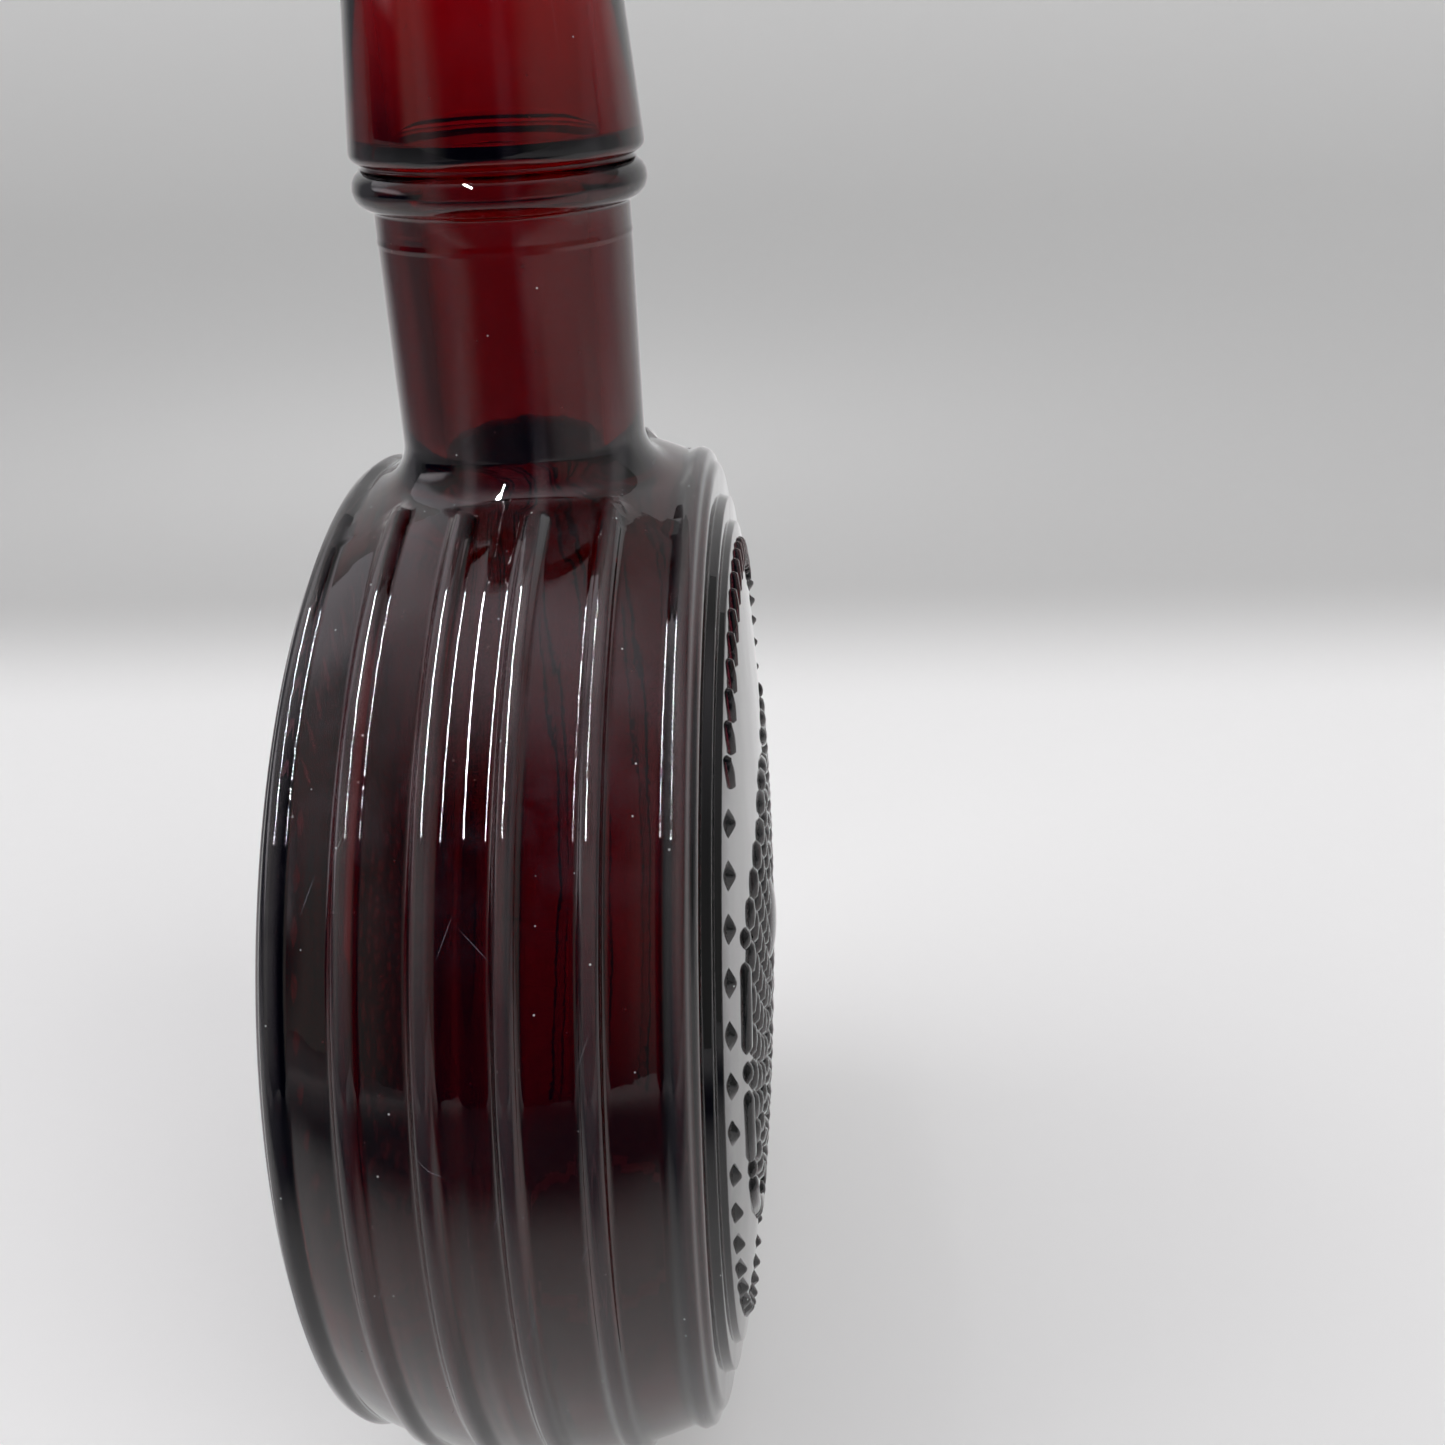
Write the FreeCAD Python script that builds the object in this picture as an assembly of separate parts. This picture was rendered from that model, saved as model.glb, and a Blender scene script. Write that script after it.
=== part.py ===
import FreeCAD, Part
import os
from math import acos, asin, cos, degrees, radians, sin, sqrt

V = FreeCAD.Vector

# Disc-shaped body, mm. The disc stands on edge: its axis is X, the neck rises along Z.
RIM_RADIUS = 62.6         # rim band at the middle of its crown
CROWN_RADIUS = 44.0       # cross curvature of the barrel-shaped rim
HALF_WIDTH = 20.5         # disc centre to the outer tread of a face
CORNER_RADIUS = 1.5       # between the rim and the outer tread
OUTER_TREAD = 3.2         # width of the stepped face outside its first riser
INNER_TREAD = 3.1         # and between its two risers
STEP_1_RISE = 1.05
STEP_2_RISE = 0.75
STEP_SLANT = 0.35         # draft of a riser, so that the mould lets go
DOME_RISE = 3.1           # crown of the domed field over its edge

# Walls and base
WALL = 5.2                # rim and field
FACE_WALL = 4.6           # outer tread
BASE_WALL = 5.2
BASE_INSET = 1.2          # the flat base keeps this far inside the rim's edges
BASE_ROUND = 1.0          # heel
INNER_CORNER = 4.0
DISH_INSET = 6.0          # shallow dish under the base, in from the edge of the flat
DISH_DEPTH = 1.0

# Ribs around the rim
RIB_COUNT = 6
RIB_EDGE = 1.17           # from the outermost ribs to the rim's edges
RIB_HEIGHT = 0.9
RIB_FOOT = 2.5            # width on the glass
RIB_CREST = 0.9           # width on top
RIB_SINK = 0.3            # foot of a rib below the crowned glass
RIB_STOP = 4.2            # height of the lower ends above the base
RIB_CLEAR = 1.9           # from the neck flare to the centre of an upper end

# Neck and finish
NECK_RADIUS = 13.2
NECK_LENGTH = 25.7        # from the top of the rim to the bead ring
NECK_ROOT = 20.0          # the neck is drawn from this far inside the rim
NECK_FLARE = 3.2
NECK_WALL = 4.5
BEAD_HEIGHT = 3.9
BEAD_OUT = 1.9            # bead ring and lower edge of the collar, out from the neck
BEAD_EASE = 0.9           # eased edges of both
GROOVE_HEIGHT = 0.5
GROOVE_OUT = 0.7
COLLAR_HEIGHT = 21.8
COLLAR_TAPER = 2.1        # loss of radius from the lower edge to the lip
LIP_EASE = 0.8
MOUTH_RADIUS = 11.0
SEAT_TAPER = 0.3          # the mouth narrows by this down to a ledge over the narrower neck bore
LEDGE_DROP = 2.2          # from the ledge down to the full neck bore
LEDGE_OVER_COLLAR = 2.0   # ledge above the lower edge of the collar

# Stopper, a tapered cork that sits in the mouth
CORK_GRIP = 7.5           # depth in the mouth
CORK_HEAD = 10.0          # height above the lip
CORK_CLEARANCE = 0.08     # radial
CORK_EASE = 0.6

# Relief on both faces: lozenge border, upper arc of slanted flutes, ring of bars and beads, raised middle
RELIEF_HEIGHT = 0.65
STUD_SINK = 0.2           # foot of a stud below the domed glass
LOZENGE_ASPECT = 1.3      # length of a pointed end over its half width
BORDER_INSET = 3.7        # middle of the border in from the edge of the field
BORDER_PLACES = 56
LOZENGE_LENGTH = 3.9
FLUTE_ARC = 78.0          # degrees of the border, over the top, that carry flutes
FLUTE_STEP = 3.0          # degrees
FLUTE_LENGTH = 4.6
FLUTE_WIDTH = 1.2
FLUTE_SLANT = 62.0        # degrees from the tangent
BAR_INSET = 11.2          # ring of bars in from the border
BAR_COUNT = 15
BAR_LENGTH = 10.2
BAR_WIDTH = 2.7
PLATEAU_INSET = 2.8       # raised middle in from the ring of bars
PLATEAU_HEIGHT = 0.4
MOTIF_TOP = 20.0          # bars, beads and raised middle end at this height over the disc axis
BOSS_RADIUS = 5.6
BOSS_HEIGHT = 1.0

# Places that follow from these sizes
CROWN_CENTRE = RIM_RADIUS - CROWN_RADIUS
CORNER_X = HALF_WIDTH - CORNER_RADIUS
CROWN_EDGE = CORNER_X * CROWN_RADIUS / (CROWN_RADIUS - CORNER_RADIUS)
TREAD_TOP = CROWN_CENTRE + sqrt((CROWN_RADIUS - CORNER_RADIUS) ** 2 - CORNER_X**2)
STEP_1_RADIUS = TREAD_TOP - OUTER_TREAD
STEP_2_RADIUS = STEP_1_RADIUS - INNER_TREAD
FIELD_EDGE = HALF_WIDTH + STEP_1_RISE + STEP_2_RISE
DOME_APEX = FIELD_EDGE + DOME_RISE
DOME_RADIUS = (STEP_2_RADIUS**2 + DOME_RISE**2) / (2 * DOME_RISE)
INNER_EDGE = HALF_WIDTH - FACE_WALL
BASE_HALF = CROWN_EDGE - BASE_INSET
CENTRE_HEIGHT = CROWN_CENTRE + sqrt(CROWN_RADIUS**2 - BASE_HALF**2)
CENTRE = V(0, 0, CENTRE_HEIGHT)
RIB_PITCH = 2 * (CROWN_EDGE - RIB_EDGE) / (RIB_COUNT - 1)
NECK_BORE = NECK_RADIUS - NECK_WALL
ROOT_HEIGHT = CENTRE_HEIGHT + RIM_RADIUS - NECK_ROOT
BEAD_LOW = CENTRE_HEIGHT + RIM_RADIUS + NECK_LENGTH
COLLAR_LOW = BEAD_LOW + BEAD_HEIGHT + GROOVE_HEIGHT
COLLAR_RADIUS = NECK_RADIUS + BEAD_OUT
MOUTH_HEIGHT = COLLAR_LOW + COLLAR_HEIGHT
LEDGE_HEIGHT = COLLAR_LOW + LEDGE_OVER_COLLAR
BORDER_RADIUS = STEP_2_RADIUS - BORDER_INSET
BAR_RADIUS = BORDER_RADIUS - BAR_INSET
PLATEAU_RADIUS = BAR_RADIUS - PLATEAU_INSET


def rounded(points):
    """Edges through the points (u, v, round), with each inner corner rounded, in the plane of u and v."""
    ends = [V(points[0][0], points[0][1], 0)]
    edges = []
    for before, here, after in zip(points, points[1:], points[2:]):
        corner = V(here[0], here[1], 0)
        back = V(before[0], before[1], 0).sub(corner).normalize()
        on = V(after[0], after[1], 0).sub(corner).normalize()
        if here[2] <= 0:
            edges.append(Part.makeLine(ends[-1], corner))
            ends.append(corner)
            continue
        half = acos(max(-1.0, min(1.0, back.dot(on)))) / 2
        reach = here[2] * cos(half) / sin(half)
        first = corner.add(V(back).multiply(reach))
        last = corner.add(V(on).multiply(reach))
        middle = V(back).add(on).normalize()
        centre = corner.add(V(middle).multiply(here[2] / sin(half)))
        top = centre.sub(V(middle).multiply(here[2]))
        if first.distanceToPoint(ends[-1]) > 1e-6:
            edges.append(Part.makeLine(ends[-1], first))
        edges.append(Part.Arc(first, top, last).toShape())
        ends.append(last)
    edges.append(Part.makeLine(ends[-1], V(points[-1][0], points[-1][1], 0)))
    return edges


def mirrored(edges):
    """The edges reflected to the other side of the disc, in the opposite order."""
    return [edge.mirror(V(0, 0, 0), V(1, 0, 0)) for edge in reversed(edges)]


def turned_about_x(edges):
    """A solid of revolution about the disc axis from edges in the plane of x and radius."""
    wire = Part.Wire(Part.__sortEdges__(edges))
    solid = Part.Face(wire).revolve(V(0, 0, 0), V(1, 0, 0), 360)
    solid.translate(CENTRE)
    return solid


def turned_about_z(points):
    """A solid of revolution about the neck axis from points (radius, height, round) that start and end on it."""
    edges = rounded(points)
    edges.append(Part.makeLine(V(points[-1][0], points[-1][1], 0), V(points[0][0], points[0][1], 0)))
    face = Part.Face(Part.Wire(Part.__sortEdges__(edges)))
    face.rotate(V(0, 0, 0), V(1, 0, 0), 90)
    return face.revolve(V(0, 0, 0), V(0, 0, 1), 360)


def dome_x(radius):
    """Distance of the domed field from the middle plane of the disc."""
    return DOME_APEX - DOME_RADIUS + sqrt(DOME_RADIUS**2 - radius**2)


def disc_body():
    """The crowned disc with its stepped and domed faces."""
    crown_end = V(CROWN_EDGE, CROWN_CENTRE + sqrt(CROWN_RADIUS**2 - CROWN_EDGE**2), 0)
    centre = V(CORNER_X, TREAD_TOP, 0)
    middle = crown_end.sub(centre).normalize().add(V(1, 0, 0)).normalize()
    eased = centre.add(middle.multiply(CORNER_RADIUS))
    tread = HALF_WIDTH + STEP_1_RISE
    stair = rounded(
        [
            (crown_end.x, crown_end.y, 0),
            (eased.x, eased.y, 0),
            (HALF_WIDTH, TREAD_TOP, 0),
            (HALF_WIDTH, STEP_1_RADIUS + STEP_SLANT, 0),
            (tread, STEP_1_RADIUS, 0),
            (tread, STEP_2_RADIUS + STEP_SLANT, 0),
            (FIELD_EDGE, STEP_2_RADIUS, 0),
        ]
    )
    half_way = STEP_2_RADIUS / 2
    dome = Part.Arc(
        V(FIELD_EDGE, STEP_2_RADIUS, 0), V(dome_x(half_way), half_way, 0), V(DOME_APEX, 0, 0)
    ).toShape()
    side = stair + [dome]
    crown = Part.Arc(V(-crown_end.x, crown_end.y, 0), V(0, RIM_RADIUS, 0), crown_end).toShape()
    axis = Part.makeLine(V(DOME_APEX, 0, 0), V(-DOME_APEX, 0, 0))
    return turned_about_x(mirrored(side) + [crown] + side + [axis])


def neck_solid():
    """Neck, bead ring, groove and tapered collar, still without the bore."""
    bead_high = BEAD_LOW + BEAD_HEIGHT
    lip = COLLAR_RADIUS - COLLAR_TAPER
    return turned_about_z(
        [
            (0, ROOT_HEIGHT, 0),
            (NECK_RADIUS, ROOT_HEIGHT, 0),
            (NECK_RADIUS, BEAD_LOW - BEAD_EASE, 0),
            (COLLAR_RADIUS - BEAD_EASE, BEAD_LOW, 0),
            (COLLAR_RADIUS, BEAD_LOW + BEAD_EASE, 0),
            (COLLAR_RADIUS, bead_high - BEAD_EASE, 0),
            (COLLAR_RADIUS - BEAD_EASE, bead_high, 0),
            (NECK_RADIUS + GROOVE_OUT, bead_high, 0),
            (NECK_RADIUS + GROOVE_OUT, COLLAR_LOW, 0),
            (COLLAR_RADIUS - BEAD_EASE / 2, COLLAR_LOW, 0),
            (COLLAR_RADIUS, COLLAR_LOW + BEAD_EASE, 0),
            (lip, MOUTH_HEIGHT - LIP_EASE, 0),
            (lip - LIP_EASE, MOUTH_HEIGHT, 0),
            (0, MOUTH_HEIGHT, 0),
        ]
    )


def edges_where(shape, test):
    """The edges of which every point passes the test. The poles of a round have no length and are left out."""
    lines = [edge for edge in shape.Edges if not edge.Degenerated]
    return [edge for edge in lines if all(test(point) for point in edge.discretize(9))]


def off_axis(point):
    """Distance of a point from the neck axis."""
    return sqrt(point.x**2 + point.y**2)


def junction_edges(shape, radius):
    """The edges where a round neck of this radius meets the disc."""
    high = CENTRE_HEIGHT + RIM_RADIUS
    around = edges_where(shape, lambda p: abs(off_axis(p) - radius) < 0.01 and ROOT_HEIGHT + 0.1 < p.z < high)
    return [edge for edge in around if edge.BoundBox.XLength > 0.1]


def base_edges(shape, height):
    """The outline of the flat face at this height."""
    return edges_where(shape, lambda p: abs(p.z - height) < 1e-4)


def above(height):
    """A block that holds everything over a level."""
    side = 4 * MOUTH_HEIGHT
    return Part.makeBox(side, side, side, V(-side / 2, -side / 2, height))


def rib_lines():
    """Place of each rib on the crowned rim, as (x, radius from the disc axis, lean of the surface in degrees)."""
    lines = []
    for k in range(RIB_COUNT):
        x = (k - (RIB_COUNT - 1) / 2) * RIB_PITCH
        lines.append((x, CROWN_CENTRE + sqrt(CROWN_RADIUS**2 - x**2), degrees(asin(x / CROWN_RADIUS))))
    return lines


def rib(x, radius, lean, start, stop, round_ends):
    """One drafted rib along the rim from one angle to another, with a half-round end at the angles listed."""
    draft = (RIB_FOOT - RIB_CREST) / RIB_HEIGHT
    foot = RIB_FOOT / 2 + draft * RIB_SINK / 2
    crest = RIB_CREST / 2
    outline = [V(-foot, -RIB_SINK, 0), V(foot, -RIB_SINK, 0), V(crest, RIB_HEIGHT, 0), V(-crest, RIB_HEIGHT, 0)]
    section = Part.Face(Part.makePolygon(outline + outline[:1]))
    section.rotate(V(0, 0, 0), V(0, 0, 1), -lean)
    section.translate(V(x, radius, 0))
    section.rotate(V(0, 0, 0), V(1, 0, 0), start)
    pieces = [section.revolve(V(0, 0, 0), V(1, 0, 0), stop - start)]
    for angle in round_ends:
        end = Part.makeCone(foot, crest, RIB_SINK + RIB_HEIGHT, V(0, -RIB_SINK, 0), V(0, 1, 0), 180)
        end.rotate(V(0, 0, 0), V(0, 1, 0), 180 if angle == stop else 0)
        end.rotate(V(0, 0, 0), V(0, 0, 1), -lean)
        end.translate(V(x, radius, 0))
        end.rotate(V(0, 0, 0), V(1, 0, 0), angle)
        pieces.append(end)
    for piece in pieces:
        piece.translate(CENTRE)
    return pieces


def ribs():
    """All ribs. The inner ones stop short of the neck flare, the outer ones run on beside it."""
    keep_off = NECK_RADIUS + NECK_FLARE + RIB_CLEAR
    made = []
    for x, radius, lean in rib_lines():
        foot = -degrees(asin((CENTRE_HEIGHT - RIB_STOP) / radius))
        if abs(x) >= keep_off:
            made += rib(x, radius, lean, foot, 180 - foot, [])
            continue
        head = degrees(acos(sqrt(keep_off**2 - x**2) / radius))
        made += rib(x, radius, lean, foot, head, [head])
        made += rib(x, radius, lean, 180 - head, 180 - foot, [180 - head])
    return made


def stud(length, width, height):
    """A hipped stud along x: a lozenge if it has no ridge, a pointed bar if it is longer than wide."""
    grow = 1 + STUD_SINK / height
    half = width / 2 * grow
    ridge = max(0.0, length - LOZENGE_ASPECT * width) / 2
    tip = ridge + LOZENGE_ASPECT * half
    foot = [V(tip, 0, -STUD_SINK), V(ridge, half, -STUD_SINK), V(-ridge, half, -STUD_SINK)]
    foot += [V(-tip, 0, -STUD_SINK), V(-ridge, -half, -STUD_SINK), V(ridge, -half, -STUD_SINK)]
    one = V(ridge, 0, height)
    two = V(-ridge, 0, height)
    loops = [foot, [foot[0], foot[1], one], [foot[2], foot[3], two], [foot[3], foot[4], two], [foot[5], foot[0], one]]
    if ridge > 0:
        loops += [[foot[1], foot[2], two, one], [foot[4], foot[5], one, two]]
    else:
        loops[0] = [foot[0], foot[1], foot[3], foot[4]]
    return Part.Solid(Part.Shell([Part.Face(Part.makePolygon(loop + loop[:1])) for loop in loops]))


def on_field(shape, radius, angle, turn=0.0):
    """Put a stud on the domed field: its x runs around the disc, its y outward and its z off the glass."""
    shape.rotate(V(0, 0, 0), V(0, 0, 1), turn)
    shape.rotate(V(0, 0, 0), V(1, 0, 0), -degrees(asin(radius / DOME_RADIUS)))
    shape.translate(V(0, radius, dome_x(radius)))
    shape.rotate(V(0, 0, 0), V(1, 1, 1), 120)
    shape.rotate(V(0, 0, 0), V(1, 0, 0), angle - 90)
    shape.translate(CENTRE)
    return shape


def relief():
    """The studs of one face."""
    studs = []
    step = 360.0 / BORDER_PLACES
    for k in range(BORDER_PLACES):
        angle = 270 + k * step
        if abs((angle - 90 + 180) % 360 - 180) > FLUTE_ARC / 2 + step / 3:
            lozenge = stud(LOZENGE_LENGTH, LOZENGE_LENGTH / LOZENGE_ASPECT, RELIEF_HEIGHT)
            studs.append(on_field(lozenge, BORDER_RADIUS, angle))
    flutes = int(FLUTE_ARC / FLUTE_STEP / 2)
    for k in range(-flutes, flutes + 1):
        stroke = stud(FLUTE_LENGTH, FLUTE_WIDTH, RELIEF_HEIGHT)
        studs.append(on_field(stroke, BORDER_RADIUS, 90 + k * FLUTE_STEP, FLUTE_SLANT))
    for k in range(2 * BAR_COUNT):
        angle = 90 + k * 180.0 / BAR_COUNT
        if BAR_RADIUS * sin(radians(angle)) < MOTIF_TOP:
            size = BAR_WIDTH if k % 2 else BAR_LENGTH
            studs.append(on_field(stud(size, BAR_WIDTH, RELIEF_HEIGHT), BAR_RADIUS, angle))
    plateau = Part.makeSphere(DOME_RADIUS, V(0, 0, PLATEAU_HEIGHT - DOME_RADIUS))
    depth = 2 * DOME_RISE
    block = Part.makeCone(PLATEAU_RADIUS + depth, PLATEAU_RADIUS, depth, V(0, 0, PLATEAU_HEIGHT - depth))
    side = 4 * PLATEAU_RADIUS
    below = Part.makeBox(side, side, side, V(-side / 2, MOTIF_TOP - side, -side / 2))
    plateau = plateau.common(block).common(below)
    studs.append(on_field(plateau, 0.0, 90))
    boss_round = (BOSS_RADIUS**2 + BOSS_HEIGHT**2) / (2 * BOSS_HEIGHT)
    boss = Part.makeSphere(boss_round, V(0, 0, BOSS_HEIGHT - boss_round))
    side = 4 * BOSS_RADIUS
    block = Part.makeBox(side, side, side, V(-side / 2, -side / 2, -BOSS_HEIGHT / 2))
    studs.append(on_field(boss.common(block), 0.0, 90))
    return studs


def hollow():
    """The space inside: disc-shaped chamber, neck bore, ledge and tapering mouth."""
    inner_crown = CROWN_RADIUS - WALL
    edge_radius = CROWN_CENTRE + sqrt(inner_crown**2 - INNER_EDGE**2)
    apex = DOME_APEX - WALL
    bow = apex - INNER_EDGE
    bow_radius = (edge_radius**2 + bow**2) / (2 * bow)
    half_way = edge_radius / 2
    bow_x = apex - bow_radius + sqrt(bow_radius**2 - half_way**2)
    crown = Part.Arc(
        V(-INNER_EDGE, edge_radius, 0), V(0, CROWN_CENTRE + inner_crown, 0), V(INNER_EDGE, edge_radius, 0)
    ).toShape()
    side = [Part.Arc(V(INNER_EDGE, edge_radius, 0), V(bow_x, half_way, 0), V(apex, 0, 0)).toShape()]
    axis = Part.makeLine(V(apex, 0, 0), V(-apex, 0, 0))
    chamber = turned_about_x(mirrored(side) + [crown] + side + [axis])
    chamber = chamber.makeFillet(INNER_CORNER, edges_where(chamber, lambda p: abs(abs(p.x) - INNER_EDGE) < 1e-4))
    chamber = chamber.common(above(BASE_WALL))
    bore = turned_about_z(
        [
            (0, ROOT_HEIGHT, 0),
            (NECK_BORE, ROOT_HEIGHT, 0),
            (NECK_BORE, LEDGE_HEIGHT - LEDGE_DROP, 0),
            (MOUTH_RADIUS - SEAT_TAPER, LEDGE_HEIGHT, 0),
            (MOUTH_RADIUS, MOUTH_HEIGHT, 0),
            (MOUTH_RADIUS, MOUTH_HEIGHT + LIP_EASE, 0),
            (0, MOUTH_HEIGHT + LIP_EASE, 0),
        ]
    )
    space = chamber.fuse(bore)
    return space.makeFillet(NECK_FLARE, junction_edges(space, NECK_BORE))


def bottle():
    """The one-piece glass bottle."""
    body = disc_body().common(above(0))
    body = body.makeFillet(BASE_ROUND, base_edges(body, 0))
    body = body.fuse(neck_solid())
    body = body.makeFillet(NECK_FLARE, junction_edges(body, NECK_RADIUS))
    dish = ((BASE_HALF - DISH_INSET) ** 2 + DISH_DEPTH**2) / (2 * DISH_DEPTH)
    body = body.cut(Part.makeSphere(dish, V(0, 0, DISH_DEPTH - dish)))
    front = relief()
    back = [stud.mirror(V(0, 0, 0), V(1, 0, 0)) for stud in front]
    body = body.fuse(ribs() + front + back)
    body = body.cut(hollow())
    mouth = edges_where(body, lambda p: abs(p.z - MOUTH_HEIGHT) < 1e-4 and off_axis(p) < MOUTH_RADIUS + 0.1)
    body = body.makeChamfer(LIP_EASE / 2, mouth)
    return body.Solids[0]


def cork():
    """The tapered stopper, with the taper of the mouth."""
    slope = SEAT_TAPER / (MOUTH_HEIGHT - LEDGE_HEIGHT)
    low = MOUTH_HEIGHT - CORK_GRIP
    high = MOUTH_HEIGHT + CORK_HEAD
    top = MOUTH_RADIUS - CORK_CLEARANCE
    return turned_about_z(
        [
            (0, low, 0),
            (top - slope * CORK_GRIP - CORK_EASE, low, 0),
            (top - slope * (CORK_GRIP - CORK_EASE), low + CORK_EASE, 0),
            (top + slope * (CORK_HEAD - CORK_EASE), high - CORK_EASE, 0),
            (top + slope * CORK_HEAD - CORK_EASE, high, 0),
            (0, high, 0),
        ]
    )


os.makedirs("parts", exist_ok=True)
bottle().exportStep("parts/bottle_glass.step")
cork().exportStep("parts/cork_stopper.step")
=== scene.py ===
from math import pi, radians

import bmesh
import bpy
import numpy as np
from bpy.props import FloatProperty, FloatVectorProperty, IntProperty, PointerProperty
from mathutils import Matrix, Vector


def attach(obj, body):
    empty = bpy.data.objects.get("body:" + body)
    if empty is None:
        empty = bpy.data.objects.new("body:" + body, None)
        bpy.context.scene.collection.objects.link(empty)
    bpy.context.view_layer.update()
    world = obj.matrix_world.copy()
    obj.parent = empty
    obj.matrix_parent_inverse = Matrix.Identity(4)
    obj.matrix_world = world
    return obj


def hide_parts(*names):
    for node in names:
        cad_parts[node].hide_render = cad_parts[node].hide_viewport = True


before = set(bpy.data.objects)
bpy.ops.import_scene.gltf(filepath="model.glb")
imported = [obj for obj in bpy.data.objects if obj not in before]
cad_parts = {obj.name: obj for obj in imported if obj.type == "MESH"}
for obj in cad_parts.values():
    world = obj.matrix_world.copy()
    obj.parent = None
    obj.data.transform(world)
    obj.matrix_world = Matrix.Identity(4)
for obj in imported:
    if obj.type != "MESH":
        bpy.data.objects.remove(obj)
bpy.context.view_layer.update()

bl_info = {
    "name": "Glass oil bottle",
    "version": (1, 0, 0),
    "blender": (4, 5, 0),
    "location": "3D View > Sidebar > Oil bottle",
    "description": "Makes a ribbed, disc-shaped ruby glass oil bottle with a cork, on a pale studio floor",
    "category": "Add Mesh",
}

MM = 0.001


def length(name, description, mm):
    """A size in metres that is given in millimetres."""
    return FloatProperty(name=name, description=description, default=mm * MM, precision=5, unit="LENGTH")


def angle(name, description, turn):
    """An angle that is given in degrees."""
    return FloatProperty(name=name, description=description, default=radians(turn), subtype="ANGLE")


def number(name, description, value):
    """A plain number."""
    return FloatProperty(name=name, description=description, default=value)


def count(name, description, value):
    """How many of something."""
    return IntProperty(name=name, description=description, default=value, min=1)


def colour(name, description, rgb):
    """A linear colour."""
    limits = {"min": 0.0, "max": 1.0}
    return FloatVectorProperty(name=name, description=description, default=rgb, subtype="COLOR", **limits)


class GlassSizes(bpy.types.PropertyGroup):
    """Sizes of the moulded glass. Its main sizes are those of the solids."""

    centre_height: length("Centre height", "Axis of the disc above the base", 58.535)
    rim_radius: length("Rim radius", "Rim band at the middle of its crown", 62.6)
    crown_radius: length("Crown radius", "Cross curvature of the barrel-shaped rim", 44.0)
    half_width: length("Half width", "Disc centre to the outer tread of a face", 20.5)
    corner_radius: length("Corner", "Between the rim and the outer tread", 1.5)
    outer_tread: length("Outer tread", "Stepped face outside its first riser", 3.2)
    inner_tread: length("Inner tread", "Stepped face between its two risers", 3.1)
    step_1_rise: length("First riser", "Height of the outer riser", 1.05)
    step_2_rise: length("Second riser", "Height of the inner riser", 0.75)
    step_slant: length("Draft of a riser", "Radial slant of both risers", 0.35)
    step_ease: length("Ease of a riser", "Rounded edges of both risers", 0.28)
    dome_rise: length("Dome rise", "Crown of the domed field over its edge", 3.1)
    wall: length("Wall", "Glass at the rim and the field", 5.2)
    face_wall: length("Face wall", "Glass at the outer tread", 4.6)
    base_wall: length("Base wall", "Glass under the chamber", 5.2)
    base_ease: length("Heel", "Softness of the edge of the flat base", 1.6)
    inner_ease: length("Inner heel", "Softness inside, where the chamber meets its floor", 5.0)
    inner_corner: length("Inner corner", "Round inside, between rim and face", 4.0)
    dish_radius: length("Dish radius", "Shallow dish under the base", 12.47)
    dish_depth: length("Dish depth", "Depth of that dish", 1.0)
    neck_radius: length("Neck radius", "Outside of the neck", 13.2)
    neck_length: length("Neck length", "From the top of the rim to the bead ring", 25.7)
    neck_flare: length("Neck flare", "Round between rim and neck", 3.2)
    neck_wall: length("Neck wall", "Glass of the neck", 4.5)
    mould_line_drop: length("Mould line", "Faint ring line below the bead ring", 3.2)
    mould_line_out: length("Mould line height", "How far that line stands out", 0.09)
    bead_height: length("Bead height", "Height of the bead ring", 3.9)
    bead_out: length("Bead", "Bead ring and foot of the collar, out from the neck", 1.9)
    groove_height: length("Groove height", "Gap between bead ring and collar", 0.5)
    groove_out: length("Groove", "Bottom of that gap, out from the neck", 0.7)
    collar_height: length("Collar height", "Tapered collar up to the lip", 21.8)
    collar_taper: length("Collar taper", "Loss of radius up to the lip", 2.1)
    lip_ease: length("Lip", "Rounding of the lip", 0.85)
    mouth_radius: length("Mouth radius", "Opening at the lip", 11.0)
    seat_taper: length("Seat taper", "Narrowing of the mouth down to the ledge", 0.3)
    ledge_over_collar: length("Ledge", "Ledge in the bore above the foot of the collar", 2.0)
    ledge_drop: length("Ledge drop", "From the ledge down to the full bore", 2.2)
    rib_count: count("Ribs", "Ribs across the rim", 6)
    rib_edge: length("Rib edge", "From the outermost ribs to the edges of the rim", 1.17)
    rib_height: length("Rib height", "Ribs above the rim", 0.89)
    rib_foot: length("Rib foot", "Width of a rib on the glass", 2.9)
    rib_crest: length("Rib crest", "Width of a rib on top", 0.8)
    rib_stop: length("Rib stop", "Lower ends of the ribs above the base", 4.2)
    rib_clear: length("Rib clear", "From the neck flare to the centre of a rib's upper end", 1.9)
    seam_height: length("Mould seam", "Seam around the middle of the rim", 0.1)

    def crown_at(self, x):
        """Radius of the rim at this distance from the middle of the disc."""
        return self.crown_centre + np.sqrt(self.crown_radius**2 - x**2)

    @property
    def crown_centre(self):
        return self.rim_radius - self.crown_radius

    @property
    def corner_x(self):
        return self.half_width - self.corner_radius

    @property
    def crown_edge(self):
        return self.corner_x * self.crown_radius / (self.crown_radius - self.corner_radius)

    @property
    def tread_top(self):
        return self.crown_centre + np.sqrt((self.crown_radius - self.corner_radius) ** 2 - self.corner_x**2)

    @property
    def step_1_radius(self):
        return self.tread_top - self.outer_tread

    @property
    def step_2_radius(self):
        return self.step_1_radius - self.inner_tread

    @property
    def field_edge(self):
        return self.half_width + self.step_1_rise + self.step_2_rise

    @property
    def dome_apex(self):
        return self.field_edge + self.dome_rise

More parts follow.
